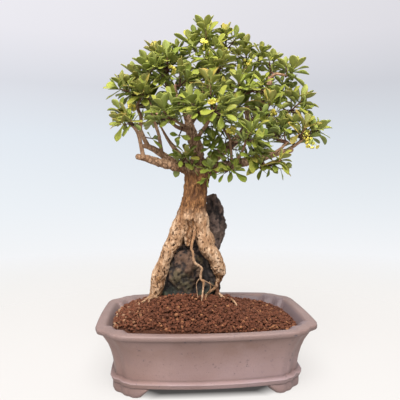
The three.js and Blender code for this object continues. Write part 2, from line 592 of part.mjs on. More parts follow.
const clay = new THREE.MeshStandardMaterial({ color: 0x93776f, roughness: 0.75, metalness: 0 });
const akadama = new THREE.MeshStandardMaterial({ color: 0x7a4630, roughness: 0.95, metalness: 0 });
const stone = new THREE.MeshStandardMaterial({ color: 0x3f3834, roughness: 0.9, metalness: 0 });
const bark = new THREE.MeshStandardMaterial({ color: 0xb98f68, roughness: 0.85, metalness: 0 });
const leafGreen = new THREE.MeshStandardMaterial({ color: 0x7fa03a, roughness: 0.5, metalness: 0 });
const petalYellow = new THREE.MeshStandardMaterial({ color: 0xd9c94a, roughness: 0.5, metalness: 0 });
const plastic = new THREE.MeshStandardMaterial({ color: 0x22252a, roughness: 0.5, metalness: 0 });

const SMOOTH = 0.06; // features smaller than this are dropped after a join
const tree = treeSolid().asOriginal().simplify(SMOOTH);
const roots = rootsSolid(GAP);
const rock = largest(stoneSolid(0).subtract(roots)).asOriginal().simplify(SMOOTH);
const soil = largest(soilSolid().subtract(stoneSolid(GAP * 1.6)).subtract(roots)).asOriginal().simplify(SMOOTH);

const object = new THREE.Group();
object.add(meshOf("pot", potSolid().asOriginal().simplify(SMOOTH), clay));
object.add(meshOf("soil", soil, akadama));
object.add(meshOf("rock", rock, stone));
object.add(meshOf("tree", tree, bark));
for (const side of [-1, 1]) object.add(meshOf(side < 0 ? "drain_screen_left" : "drain_screen_right", screenSolid(side), plastic));

const others = [kept(tree)];
const shoots = sprays.map((spray) => kept(shootSolid(spray, GAP)));
BLOOMS.forEach((at, index) => {
  const place = bloomPlace(at, index, [...others, ...shoots]);
  others.push(kept(bloomSolid(place, index, GAP)));
  object.add(meshOf(`raceme_${index + 1}`, bloomSolid(place, index).asOriginal().simplify(SMOOTH), petalYellow));
});
sprays.forEach((spray, index) => {
  const solid = spraySolid(spray, [...others, ...shoots.slice(index + 1)]);
  others.push(kept(solid));
  object.add(meshOf(spray.name, largest(solid).asOriginal().simplify(SMOOTH), leafGreen));
});

// The part's origin is the middle of the whole object's footprint, on the surface that it stands on.
const extent = new THREE.Box3().setFromObject(object);
const middle = extent.getCenter(new THREE.Vector3());
for (const mesh of object.children) mesh.position.set(-middle.x, -middle.y, -extent.min.z);

export default object;
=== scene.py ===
"""A Korean barberry bonsai, its roots grown over a dark stone, in an unglazed rectangular clay pot.

Lengths are millimetres from the middle of the pot's footprint: +X to the viewer's right, -Y towards the
viewer and +Z up. in_metres turns them into the row's own frame.
"""

import math

import bpy
import numpy as np
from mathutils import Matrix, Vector, noise


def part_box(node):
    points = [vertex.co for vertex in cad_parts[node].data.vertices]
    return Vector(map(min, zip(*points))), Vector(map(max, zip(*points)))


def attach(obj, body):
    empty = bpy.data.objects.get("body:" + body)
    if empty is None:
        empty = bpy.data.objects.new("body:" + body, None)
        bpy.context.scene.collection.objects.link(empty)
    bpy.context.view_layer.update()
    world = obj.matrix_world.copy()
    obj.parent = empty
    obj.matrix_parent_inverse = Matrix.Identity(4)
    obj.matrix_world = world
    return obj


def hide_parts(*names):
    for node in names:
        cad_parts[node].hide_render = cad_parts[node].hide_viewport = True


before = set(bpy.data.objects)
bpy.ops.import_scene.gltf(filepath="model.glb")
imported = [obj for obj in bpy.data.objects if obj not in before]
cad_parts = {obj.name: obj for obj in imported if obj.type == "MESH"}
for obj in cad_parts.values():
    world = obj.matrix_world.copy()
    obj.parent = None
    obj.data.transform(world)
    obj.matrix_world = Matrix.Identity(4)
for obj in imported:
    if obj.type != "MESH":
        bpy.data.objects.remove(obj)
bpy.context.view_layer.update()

POT_LOW, POT_HIGH = (np.array(corner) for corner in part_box("pot"))
ORIGIN = np.array([(POT_LOW[0] + POT_HIGH[0]) / 2, (POT_LOW[1] + POT_HIGH[1]) / 2, POT_LOW[2]])
POT_WIDTH, POT_DEPTH, _ = (POT_HIGH - POT_LOW) * 1000
UP = np.array([0.0, 0.0, 1.0])

# Camera, as solved from the pot in the photograph
EYE = (-32.7, -397, 171.6)
YAW, PITCH, LENS, SENSOR = 0.072, -0.031, 38.7, 36

# Studio: the sky's colour over half the sine of the height angle plus a half, how much it fades to the right,
# and each lamp's place, size and watts
SKY = [
    (0.31, (0.93, 0.9, 0.87)), (0.385, (0.925, 0.925, 0.91)), (0.422, (0.91, 0.92, 0.94)),
    (0.479, (0.83, 0.87, 0.91)), (0.555, (0.74, 0.79, 0.85)), (0.61, (0.68, 0.695, 0.75)),
    (0.66, (0.79, 0.78, 0.83)), (0.72, (0.82, 0.81, 0.85)), (0.82, (0.42, 0.42, 0.44)),
]
SKY_SLOPE = 0.16
FLOOR_RADIUS, FLOOR_SIDES = 4000, 96
LAMP_AIM = (0, 0, 150)
LAMPS = [
    ("key", (-70, -620, 900), 700, 28), ("fill", (-420, -740, 300), 1100, 3.2),
    ("top", (-60, 60, 1250), 1500, 5), ("back", (160, 640, 760), 700, 2.6),
]

# Pot: the bow of its short and long sides, and its cut corners
BOW_X, BOW_Y, CORNER_CUT, CORNER_ROUND, CORNER_NOTCH = 2.8, 9.4, 14, 3.6, 1.4
# How much less they are cut for each millimetre that a wall stands in, and the inner ribs
CUT_LOSS, INNER_CUT_LOSS, INNER_RIB = 0.3, 0.12, 3.2
FOOT_HEIGHT, FOOT_LENGTH, FOOT_CURL = 8, 26, 8
FLOOR_TOP, DRAIN_X, DRAIN_RADIUS = 12, 42, 8
SHARP_ANGLE = math.radians(40)
# Each wall's heights, and how far it stands in there from the rim's outer edge
OUTER_WALL = [
    (8, 15), (8.1, 13.6), (8.5, 12.8), (9.2, 12.4), (10.4, 12), (11.6, 11.5), (12.4, 11.2), (12.9, 11.4),
    (13.2, 12.2), (13.4, 13.6), (13.8, 14.8), (14.7, 15), (17, 14.5), (20, 14.2), (27, 13.2), (34, 11.5),
    (41, 9), (46, 6.3), (49.4, 4.4), (50.9, 3.9), (51.3, 3.2), (51.5, 1.6), (51.8, 0.6), (52.6, 0.15),
    (54.4, 0), (55.2, 0.1), (55.8, 0.6), (56, 1.4),
]
INNER_WALL = [
    (56.1, 3.6), (56, 6.4), (55.7, 7.3), (55, 8.2), (53, 9.7), (46, 12.9), (38, 16), (26, 18.4), (14, 20),
    (12, 22.5),
]
# A foot's section, outside to inside: inset, and height as a share of the foot's
FOOT_SECTION = [
    (13.6, 1.08), (13.2, 0.8), (13.1, 0.4), (13.3, 0.16), (13.9, 0.03), (14.8, 0), (21.4, 0), (22.2, 0.1),
    (22.2, 1.08),
]
# The floor's shaded middle below the pot: half its sizes, and how much its corners are cut
SHADE_SIZE, SHADE_CORNER = (80, 55), 0.62

# Soil: its edge, the brow over it and the heap on that
SOIL_EDGE, SOIL_BROW, SOIL_RISE = 42.4, 10.5, 12.1
SOIL_MIDDLE, SOIL_REACH, SOIL_ROUND = (-15.5, -6.5), (87, 60.5), 3.6
# The low mound that the roots stand on and the crumbs at the right leg: height, middle, size and power
MOUND, CRUMBS = (8.8, (-34, -13.5), (60, 35), 4), (5.5, (21.5, -6), (6, 9), 2)
# How far the soil's edge stands in from the pot's rim
SOIL_INSET = 12.5
# How deep the bed lies below the heap, and how far its top and bottom stand in from the pot's rim
BED_DEPTH, BED_RIM, BED_FOOT = 2.6, 12.8, 20.5
GRAIN_RADIUS, GRAIN_STEP, GRAIN_ROW = 1.4, 2.4, 0.87
GRAIN_KINDS, GRAIN_HEAPS = 14, 3
# Each layer of granules: how far it lies below the heap's surface, and how many of its places are filled
GRAIN_LAYERS = ((1.9, 1.0), (0.4, 0.95), (-0.9, 0.34))

# Where the trunk and its roots run, and the radius at each point
TRUNK = [
    ([(-13.8, 0, 127), (-13.7, 0, 131), (-13.4, 0, 136), (-12.6, 0, 143.5), (-10.4, 0, 152),
      (-8.8, 0, 159.3), (-8.2, 0, 166.7), (-7.7, 0, 175), (-6.5, 0, 183), (-6.5, 1, 190),
      (-7, 1, 197)], [4, 9, 12, 13.6, 12, 10.9, 10.5, 10.4, 11.8, 10, 6.8]),
    ([(-14, 0, 154), (-17.8, -2, 144), (-23.4, -4, 134), (-28, -5, 122), (-33, -6, 114), (-37.7, -6, 102),
      (-40.9, -5, 92.5), (-43, -4, 83.4), (-45.4, -3, 72),
      (-47, -2, 57)], [7.8, 7.8, 7.4, 7.1, 6.2, 6, 6.9, 6.9, 5.8, 5]),
    ([(-8, 0, 153), (-5.2, -3, 143), (-2.9, -5, 129), (0, -8, 121.5), (3.9, -9, 114), (9, -9, 106.6),
      (12.3, -8, 98.2), (13.8, -6, 92), (13.5, -5, 88), (12.2, -4, 83.5), (11, -5, 78), (11.6, -7, 70),
      (11.5, -8, 57)], [8.5, 8.8, 8.2, 7.6, 7.2, 6.5, 6.6, 5.4, 3.2, 1.7, 1.8, 2, 2]),
    ([(-12, -4, 146), (-14, -6, 135), (-15, -7, 126), (-15.6, -8, 118)], [6.5, 5, 4, 2.4]),
    ([(-9, -4, 142), (-11, -7, 132), (-12, -8, 125)], [5, 3.4, 1.8]),
    ([(-11, 5, 148), (-18, 18, 125), (-25, 28, 97), (-27, 30, 75),
      (-31, 34, 52)], [7.8, 5.2, 4.1, 3.5, 2.5]),
]
# The furrows in the fork's front: the X and Z of their tops and feet
FURROWS = [((-15.5, 138), (-16.8, 121)), ((-10.5, 140), (-9.4, 124))]
THIN_ROOTS = [
    ([(-9.5, -9, 136), (-10.3, -14, 128), (-12.5, -18, 121.5), (-13.2, -20, 117), (-11.8, -21, 113),
      (-11.5, -22, 108), (-9.8, -22, 104.3), (-6.4, -22, 102), (-4.2, -22, 99.8), (-4.9, -22, 95.4),
      (-4.9, -22, 90.2), (-2.7, -22, 88), (-2.7, -22, 83.5), (-3.4, -22, 77.7), (-4.2, -22, 70),
      (-4.5, -21, 60)], [1.6, 1.4, 1.2, 1.3, 1.1, 1.05, 1.2, 1.1, 1.1, 0.95, 1.15, 1, 0.95, 0.8, 0.8, 0.8]),
    ([(11.5, -5, 83), (9.5, -7, 79), (5.8, -9, 76.8), (0.9, -13, 74), (-1, -16, 68),
      (-1.5, -18, 60)], [1.5, 1.2, 1.1, 1, 1, 1]),
    ([(-1, -3, 140), (1.5, -3, 134), (4.8, -3, 130), (7.3, -4, 126),
      (8.5, -5, 120)], [1.3, 1.2, 1.1, 1.1, 1.3]),
]
# Rootlets that only show on the dressed tree
ROOTLETS = [
    ([(-3.4, -22, 90), (0, -20, 87.5), (4, -18, 85), (7.5, -14, 82),
      (10, -8, 81)], [0.55, 0.5, 0.5, 0.5, 0.6]),
    ([(-5, -22, 92), (-8.5, -19, 86), (-8, -18, 78), (-6.5, -18, 70)], [0.45, 0.4, 0.4, 0.35]),
    ([(0.9, -13, 74.6), (4.5, -14, 80), (3.6, -13, 86)], [0.6, 0.5, 0.3]),
    ([(-45, -7, 75), (-52, -11, 71), (-58, -16, 68.2), (-64, -19, 64)], [1.8, 1.4, 1.1, 0.8]),
    ([(12, -6, 74), (16, -8, 70.8), (20, -10, 69.2), (23.3, -12, 69.4), (26, -15, 67.6),
      (28, -17, 64.5)], [1.5, 1.1, 1.1, 1.1, 1, 0.8]),
    ([(-46, -6, 72), (-50, -14, 70.5), (-52, -20, 67), (-53, -24, 62)], [1.4, 1.1, 0.9, 0.7]),
]

# The branches: points, radii from start to end, and how many stretches its twigs share out
BRANCHES = [
    ([(-7, 0, 185), (-17, 0, 188), (-30, -5, 190.6), (-44, -10, 194), (-54, -14, 197),
      (-61, -16, 198)], [5.4, 4.2, 3.6, 2.6], 5),
    ([(-9, 4, 185), (-25, 11, 193), (-39, 13, 202), (-51, 11, 209), (-57, 11, 210)], [4.5, 2], 4),
    ([(-55, -14, 196), (-57, -17, 208), (-60, -21, 219), (-65, -25, 225)], [2, 1.2], 2),
    ([(-51, 11, 208), (-56, 7, 217), (-59, 5, 225), (-58, 2, 234), (-61, 0, 245), (-58, -2, 253),
      (-54, -4, 262), (-51, -4, 271)], [2.2, 1.1], 5),
    ([(-39, 12, 201), (-42, 6, 219), (-47, 2, 235), (-49, 0, 242)], [1.8, 1.1], 2),
    ([(-7, 0, 187), (-7, -2, 205), (-10, -4, 216), (-14, -4, 226), (-16, -4, 235)], [6.8, 3.1], 4),
    ([(-15, -5, 222), (-26, -12, 225), (-34, -15, 231), (-48, -17, 237)], [1.8, 1], 2),
    ([(-16, -4, 231), (-20, -8, 243), (-26, -11, 254), (-27, -12, 262)], [2.5, 1.2], 2),
    ([(-19, -6, 241), (-28, 2, 256), (-36, 4, 268), (-39, 3, 279)], [1.8, 1], 2),
    ([(-15, -3, 232), (-8, 2, 246), (1, 4, 261), (8, 4, 274), (9, 4, 282), (4, 2, 291),
      (1, 0, 299)], [2.8, 1.2], 6),
    ([(9, 4, 277), (17, 7, 290), (22, 7, 302)], [1.5, 1], 2),
    ([(-3, 4, 185), (9, 13, 198), (19, 17, 206), (34, 17, 218), (43, 12, 229), (51, 6, 237), (55, 1, 249),
      (59, -4, 263), (60, -5, 272)], [5.8, 1.9], 7),
    ([(60, -5, 270), (64, -8, 274), (72, -12, 272)], [1.6, 1], 2),
    ([(43, 12, 228), (42, 15, 250), (44, 15, 266), (48, 12, 279), (49, 10, 289)], [2.5, 1.1], 4),
    ([(42, 15, 254), (35, 12, 268), (30, 9, 279)], [1.6, 1], 2),
    ([(-5, 0, 184), (10, -7, 189), (24, -12, 191), (36, -16, 194), (46, -18, 196), (62, -21, 201),
      (76, -23, 204)], [5.8, 2.2], 6),
    ([(50, -18, 196), (62, -27, 203), (70, -32, 210)], [1.6, 1], 2),
    ([(70, -22, 202), (82, -25, 211), (86, -26, 214)], [1.6, 1], 2),
    ([(50, 7, 235), (60, 0, 234), (70, -6, 236), (78, -9, 241)], [2.1, 1.1], 2),
    ([(49, -18, 196), (52, -23, 190), (55, -26, 189)], [1.5, 1], 2),
    ([(24, -12, 190), (22, -20, 201), (20, -24, 214), (14, -27, 222)], [1.5, 1], 2),
    ([(-9, 2, 187), (-21, 28, 202), (-33, 46, 219), (-42, 56, 236)], [3.5, 1.2], 4),
    ([(-3, 5, 187), (18, 33, 203), (39, 50, 222), (55, 57, 244)], [3.7, 1.2], 4),
    ([(-14, -2, 227), (-5, 18, 243), (0, 34, 264), (6, 42, 281)], [2.3, 1.1], 2),
    ([(-9, -5, 213), (-3, -24, 221), (2, -36, 229), (4, -42, 234)], [2, 1.1], 2),
    ([(-14, -5, 224), (-22, -20, 226), (-30, -30, 229)], [1.8, 1], 2),
    ([(24, -12, 190), (29, -32, 200), (31, -42, 208)], [1.6, 1], 2),
]

# Where each spray's crown of leaves sits
SPRAYS = [
    (1, -4, 313), (-13, 0, 302), (21, 6, 311), (-25, 7, 299), (-45, 3, 294), (-34, -12, 285),
    (-52, -8, 278), (-64, 2, 273), (-72, -8, 258), (-56, -16, 253), (-75, -16, 238), (-67, -29, 230),
    (-17, -16, 198), (39, 6, 301), (55, 8, 298), (65, 1, 289), (45, -36, 189), (79, -12, 276),
    (82, 4, 262), (87, -13, 249), (84, -34, 222), (98, -27, 221), (66, -22, 225), (55, -26, 244),
    (-23, -20, 271), (3, -30, 260), (15, -14, 283), (28, -25, 262), (20, -40, 235), (35, -46, 216),
    (-37, -38, 234), (-14, -38, 241), (6, -50, 237), (44, -36, 201), (62, -38, 194), (25, -27, 184),
    (4, -22, 186), (-44, 60, 242), (-28, 38, 265), (-57, 32, 256), (-11, 44, 286), (18, 36, 293),
    (34, 52, 266), (61, 60, 251), (68, 32, 271),
]
# How long some sprays' leaves are, as a share of the others'
SHORT_LEAVED = {
    3: 0.85, 4: 0.6, 5: 0.9, 11: 0.76, 12: 0.9, 14: 0.86, 15: 0.76, 16: 0.7, 18: 0.92, 19: 0.7, 22: 0.9,
    45: 0.8,
}
CANOPY_MIDDLE = np.array([1.0, 5.0, 230.0])
SHOOT_LENGTH, SEAT_DEPTH = 11, 2
# Branches with a thicker foot than this grow into the trunk, and the others are tubes of their own
THICK_BRANCH = 3
# Racemes, and the flowers and buds on each
BLOOM_COUNT, BLOOM_SIZE = 9, 9
# Small tufts that fill the crown between the sprays: each one's middle and its number of leaves
FILLERS = [
    (-23, -18, 217, 5), (-22, -10, 196, 5), (7, -22, 212, 8), (26, -20, 204, 8), (87, -10, 216, 7),
    (-13, -4, 289, 7), (14, -16, 200, 6), (40, -12, 212, 8), (-27, -10, 232, 6), (56, -14, 212, 7),
    (-40, -6, 265, 9), (0, -10, 285, 9), (42, 0, 259, 9), (-27, -24, 246, 9), (7, -26, 246, 9),
    (-6, -28, 235, 9), (31, -10, 243, 9), (-51, -14, 251, 9), (51, -10, 264, 9),
    (12, -34, 228, 9), (44, -30, 229, 9), (67, -28, 222, 9), (64, -10, 250, 9), (85, -14, 239, 8),
    (-18, -20, 263, 9), (20, 20, 270, 8), (-20, 26, 240, 8), (30, 30, 232, 8), (-2, 28, 262, 8),
    (-34, 20, 284, 8), (4, -26, 223, 8), (-1, -16, 216, 7), (13, -22, 217, 8), (6, -18, 206, 7),
    (19, -20, 197, 7), (39, 4, 282, 9), (62, -12, 243, 7), (60, -22, 217, 7), (78, -22, 209, 7),
    (8, -8, 295, 7), (-75, -10, 257, 7), (-49, 4, 216, 4),
    (12, 16, 228, 8), (21, 10, 216, 8), (32, -4, 213, 8), (27, 0, 305, 6), (36, 12, 278, 9), (44, 8, 276, 8),
]

# The stone: each lump's middle, half sizes and lean
STONE = [
    ((-19, 3, 94), (19.5, 14.5, 24), 0.1),
    ((0, 9, 94), (16, 15.5, 30), -0.1),
    ((9.9, 24, 132), (12.4, 13, 27), 0.05),
    ((11.8, 24, 145), (8.1, 10, 19), -0.08),
    ((6, 22, 98), (11, 13, 34), 0),
    ((-15, 9.5, 60), (28, 24, 24), 0),
    ((-31, 6, 78), (9, 9, 13), 0),
]
# How fine the skins of the stone and the trunk are, in metres
STONE_VOXEL, TRUNK_VOXEL = 0.0009, 0.0006
# The boulder that leans at the stone's front: its middle and half sizes, in X and Z
BOULDER = (-18, 96), (17.5, 21)

# A leaf's length, and its rows from foot to tip: the share of the length, and half the width as a share of it
LEAF_LENGTH, LEAF_THICKNESS = 16, 0.28
LEAF_ROWS = [
    (0, 0.022), (0.11, 0.032), (0.24, 0.072), (0.38, 0.138), (0.53, 0.202), (0.67, 0.232), (0.8, 0.21),
    (0.91, 0.14), (0.975, 0.065), (1, 0.01),
]
LEAF_COLUMNS = (-1, -0.5, 0, 0.5, 1)
LEAF_GRID = np.array([(share, half, side) for share, half in LEAF_ROWS for side in LEAF_COLUMNS])

# A petal's rows, in the same way
PETAL_ROWS, PETAL_COLUMNS = ((0, 0.12), (0.35, 0.36), (0.7, 0.42), (1, 0.18)), (-1, 0, 1)

# Where each piece's stream of random numbers starts
SOIL_SEED, SPRAY_SEED, FILLER_SEED, FLOWER_SEED = 41, 100, 300, 700
# The marks of points whose look reads none, or that get theirs later
UNMARKED = (0, 0, 0)


def in_metres(points):
    return np.asarray(points) * 0.001 + ORIGIN


def in_millimetres(points):
    return (np.asarray(points) - ORIGIN) * 1000


def seeded(seed):
    """A repeatable stream of numbers from 0 to 1."""
    state = seed & 0xFFFFFFFF

    def draw():
        nonlocal state
        state = (state + 0x6D2B79F5) & 0xFFFFFFFF
        mixed = ((state ^ (state >> 15)) * (1 | state)) & 0xFFFFFFFF
        mixed = ((mixed + (((mixed ^ (mixed >> 7)) * (61 | mixed)) & 0xFFFFFFFF)) ^ mixed) & 0xFFFFFFFF
        return ((mixed ^ (mixed >> 14)) & 0xFFFFFFFF) / 4294967296

    return draw


def unit(vector):
    return vector / max(np.linalg.norm(vector), 1e-9)


def square_to(axis):
    """Two unit vectors square to an axis and to each other."""
    side = unit(np.cross(axis, [0, 1, 0] if abs(axis[2]) > 0.9 else UP))
    return side, np.cross(axis, side)


def around(side, other, turn):
    """The way at an angle in the plane of two unit vectors."""
    return side * math.cos(turn) + other * math.sin(turn)


def smoothstep(value, low, high):
    """Rises smoothly from 0 at low to 1 at high, or falls where low is the higher of the two."""
    share = np.clip((value - low) / (high - low), 0, 1)
    return share * share * (3 - 2 * share)


def spline(points, share):
    """The point at a share of a centripetal Catmull-Rom curve's length, counted in its stretches."""
    points = np.asarray(points, float)
    last = len(points) - 1
    i = min(int(share * last), last - 1)
    along = share * last - i
    before = points[i - 1] if i else 2 * points[0] - points[1]
    after = points[i + 2] if i + 2 <= last else 2 * points[-1] - points[-2]
    a, b = points[i], points[i + 1]
    d0, d1, d2 = (max(np.linalg.norm(q - p), 1e-6) ** 0.5 for p, q in ((before, a), (a, b), (b, after)))
    leave = ((a - before) / d0 - (b - before) / (d0 + d1) + (b - a) / d1) * d1
    reach = ((b - a) / d1 - (after - a) / (d1 + d2) + (after - b) / d2) * d1
    return (a + leave * along + (3 * (b - a) - 2 * leave - reach) * along**2
            + (2 * (a - b) + leave + reach) * along**3)


def heading(points, share):
    return unit(spline(points, min(share + 1e-3, 1)) - spline(points, max(share - 1e-3, 0)))


def between(values, share):
    place = share * (len(values) - 1)
    low = min(int(place), len(values) - 2)
    return values[low] + (values[low + 1] - values[low]) * (place - low)


def shape_of(mesh):
    """The places and the normals of a mesh's points."""
    rows = []
    for what in ("co", "normal"):
        flat = np.empty(len(mesh.vertices) * 3)
        mesh.vertices.foreach_get(what, flat)
        rows.append(flat.reshape(-1, 3))
    return in_millimetres(rows[0]), rows[1]


def move_points(mesh, points):
    mesh.vertices.foreach_set("co", in_metres(points).ravel())
    mesh.update()


def set_marks(mesh, rows):
    """Stores up to four numbers per point, which the looks read."""
    if "marks" in mesh.attributes:
        mesh.attributes.remove(mesh.attributes["marks"])
    marks = mesh.attributes.new("marks", "FLOAT_COLOR", "POINT")
    four = np.ones((len(rows), 4), np.float32)
    four[:, : rows.shape[1]] = rows
    marks.data.foreach_set("color", four.ravel())


class Skin:
    """The points, faces and marks of a mesh that is gathered bit by bit."""

    def __init__(self):
        self.points, self.faces, self.marks = [], [], []

    def add(self, points, faces, marks=UNMARKED):
        base = len(self.points)
        self.points.extend(points)
        self.faces.extend([tuple(corner + base for corner in face) for face in faces])
        rows = np.ones((len(points), 4))
        marks = np.atleast_2d(np.asarray(marks, float))
        rows[:, : marks.shape[1]] = marks
        self.marks.extend(rows)

    def as_object(self, name):
        mesh = bpy.data.meshes.new(name)
        mesh.from_pydata(in_metres(self.points).tolist(), [], self.faces)
        set_marks(mesh, np.asarray(self.marks))
        mesh.update()
        return bpy.data.objects.new(name, mesh)

    def piece(self, name, look, slot, *nodes, smooth=True):
        return settle(self.as_object(name), look, slot, *nodes, smooth=smooth)


def settle(piece, look, slot, *nodes, smooth=True):
    """Gives a piece its material, what it rides on and the solids that it stands for."""
    if piece.name not in bpy.context.scene.collection.objects:
        bpy.context.scene.collection.objects.link(piece)
    piece.data.materials.clear()
    piece.data.materials.append(look)
    piece.data.polygons.foreach_set("use_smooth", [smooth] * len(piece.data.polygons))
    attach(piece, "root")
    if nodes:
        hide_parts(*nodes)
    return piece


def solid_from(skin, name, *modifiers):
    """The piece that a skin becomes when modifiers are applied."""
    piece = skin.as_object(name)
    bpy.context.scene.collection.objects.link(piece)
    for kind, settings in modifiers:
        modifier = piece.modifiers.new(kind.lower(), kind)
        for key, value in settings.items():
            setattr(modifier, key, value)
    shaped = piece.evaluated_get(bpy.context.evaluated_depsgraph_get())
    mesh = bpy.data.meshes.new_from_object(shaped)
    piece.modifiers.clear()
    piece.data = mesh
    return piece


def ring_faces(rings, count):
    """The faces between rings of points."""
    return [
        (r * count + k, r * count + (k + 1) % count, (r + 1) * count + (k + 1) % count, (r + 1) * count + k)
        for r in range(rings - 1)
        for k in range(count)
    ]


def loft(skin, rings, marks=UNMARKED):
    """A closed skin over rings, its two ends capped."""
    count, last = len(rings[0]), len(rings) - 1
    caps = [tuple(reversed(range(count))), tuple(last * count + i for i in range(count))]
    skin.add([p for ring in rings for p in ring], ring_faces(len(rings), count) + caps, marks)


def ball(skin, rows, columns, shape, marks=UNMARKED):
    """A ball of radius 1 whose points go where shape puts them."""
    points = []
    for row in range(rows + 1):
        for column in range(columns):
            rise, turn = math.pi * row / rows, 2 * math.pi * column / columns
            flat = math.sin(rise)
            point = np.array([flat * math.cos(turn), flat * math.sin(turn), -math.cos(rise)])
            points.append(shape(point, turn))
    skin.add(points, ring_faces(rows + 1, columns), marks)


def tube(skin, points, radii, sides, step, wobble=0, marks=UNMARKED, round_end=False):
    """A round limb along a curve, with rings about step apart and a surface that wobbles a little."""
    length = sum(np.linalg.norm(np.subtract(b, a)) for a, b in zip(points, points[1:]))
    rings = max(3, round(length / step))
    side, _ = square_to(heading(points, 0))
    places = []
    for ring in range(rings + 1):
        share = ring / rings
        middle, way = spline(points, share), heading(points, share)
        side = unit(side - way * np.dot(side, way))
        other = np.cross(way, side)
        radius = between(radii, share)
        for k in range(sides):
            out = around(side, other, 2 * math.pi * k / sides)
            at = middle + out * radius
            bump = noise.noise(Vector(at * 0.35)) + 0.6 * noise.noise(Vector(at * 0.9))
            places.append(at + out * bump * wobble * radius)
    start, end = spline(points, 0), spline(points, 1)
    if round_end:
        end = end + heading(points, 1) * radii[-1] * 0.7
    places += [start, end]
    low, high, top = len(places) - 2, len(places) - 1, rings * sides
    faces = ring_faces(rings + 1, sides)
    faces += [(low, (k + 1) % sides, k) for k in range(sides)]
    faces += [(high, top + k, top + (k + 1) % sides) for k in range(sides)]
    skin.add(places, faces, marks)


def relief(points, *layers):
    """Noise at each point, added up over (scale in mm, height in mm, stretch along Z)."""
    heights = np.zeros(len(points))
    for scale, height, stretch in layers:
        for i, p in enumerate(points):
            place = Vector((p[0] / scale, p[1] / scale, p[2] / scale / stretch))
            heights[i] += height * noise.noise(place)
    return heights


class Nodes:
    """Builds the nodes of a material or of the world."""

    def __init__(self, tree):
        self.tree = tree

    def node(self, kind, operation=None, **inputs):
        made = self.tree.nodes.new(kind)
        if operation:
            made.operation = operation
        for key, value in inputs.items():
            self.feed(made.inputs[key.replace("_", " ")], value)
        return made

    def feed(self, socket, value):
        if isinstance(value, bpy.types.NodeSocket):
            self.tree.links.new(value, socket)
        else:
            socket.default_value = value

    def math(self, operation, *values, clamp=False):
        made = self.node("ShaderNodeMath", operation)
        made.use_clamp = clamp
        for socket, value in zip(made.inputs, values):
            self.feed(socket, value)
        return made.outputs[0]

    def times(self, a, b):
        return self.math("MULTIPLY", a, b)

    def highest(self, first, *others):
        for other in others:
            first = self.math("MAXIMUM", first, other)
        return first

    def axes(self, vector):
        return self.node("ShaderNodeSeparateXYZ", Vector=vector).outputs

    def ramp(self, value, *stops):
        """Spreads a number over stops, each a place and a colour or grey."""
        made = self.node("ShaderNodeValToRGB", Fac=value)
        ramp = made.color_ramp
        while len(ramp.elements) < len(stops):
            ramp.elements.new(0.5)
        for element, (place, colour) in zip(ramp.elements, stops):
            element.position = place
            element.color = (*colour, 1) if isinstance(colour, tuple) else (colour, colour, colour, 1)
        return made.outputs["Color"]


class Look(Nodes):
    """A material, in the piece's own metres. Its body is the colour that its coats are laid over."""

    def __init__(self, name, roughness, specular):
        self.material = bpy.data.materials.new(name)
        self.material.use_nodes = True
        super().__init__(self.material.node_tree)
        self.shader = self.tree.nodes["Principled BSDF"]
        self.shader.inputs["Roughness"].default_value = roughness
        self.shader.inputs["Specular IOR Level"].default_value = specular
        self.where = self.node("ShaderNodeTexCoord").outputs["Object"]
        self.body = None

    def noise(self, scale, detail, roughness=0.55, where=None):
        made = self.node("ShaderNodeTexNoise", Scale=scale, Detail=detail, Roughness=roughness)
        self.feed(made.inputs["Vector"], where or self.where)
        return made.outputs["Fac"]

    def cloud(self, scale, detail, *stops, **settings):
        return self.ramp(self.noise(scale, detail, **settings), *stops)

    def cells(self, scale, where=None, feature="F1"):
        made = self.node("ShaderNodeTexVoronoi", Scale=scale)
        made.feature = feature
        self.feed(made.inputs["Vector"], where or self.where)
        return made.outputs["Distance"]

    def stretched(self, x, y, z):
        return self.node("ShaderNodeMapping", Scale=(x, y, z), Vector=self.where).outputs["Vector"]

    def mix(self, share, a, b):
        made = self.node("ShaderNodeMix")
        made.data_type = "RGBA"
        self.feed(made.inputs["Factor"], share)
        for socket, value in zip(made.inputs[6:8], (a, b)):
            self.feed(socket, (*value, 1) if isinstance(value, tuple) else value)
        return made.outputs[2]

    def coat(self, share, colour):
        self.body = self.mix(share, self.body, colour)

    def marks(self):
        """The piece's own four numbers per point."""
        made = self.node("ShaderNodeAttribute")
        made.attribute_name = "marks"
        parts = self.node("ShaderNodeSeparateColor", Color=made.outputs["Color"])
        return [*parts.outputs, made.outputs["Alpha"]]

    def finish(self, height, strength, distance):
        """Puts the body and the bumps on the shader."""
        self.feed(self.shader.inputs["Base Color"], self.body)
        made = self.node("ShaderNodeBump", Strength=strength, Distance=distance, Height=height)
        self.feed(self.shader.inputs["Normal"], made.outputs["Normal"])
        return self.material


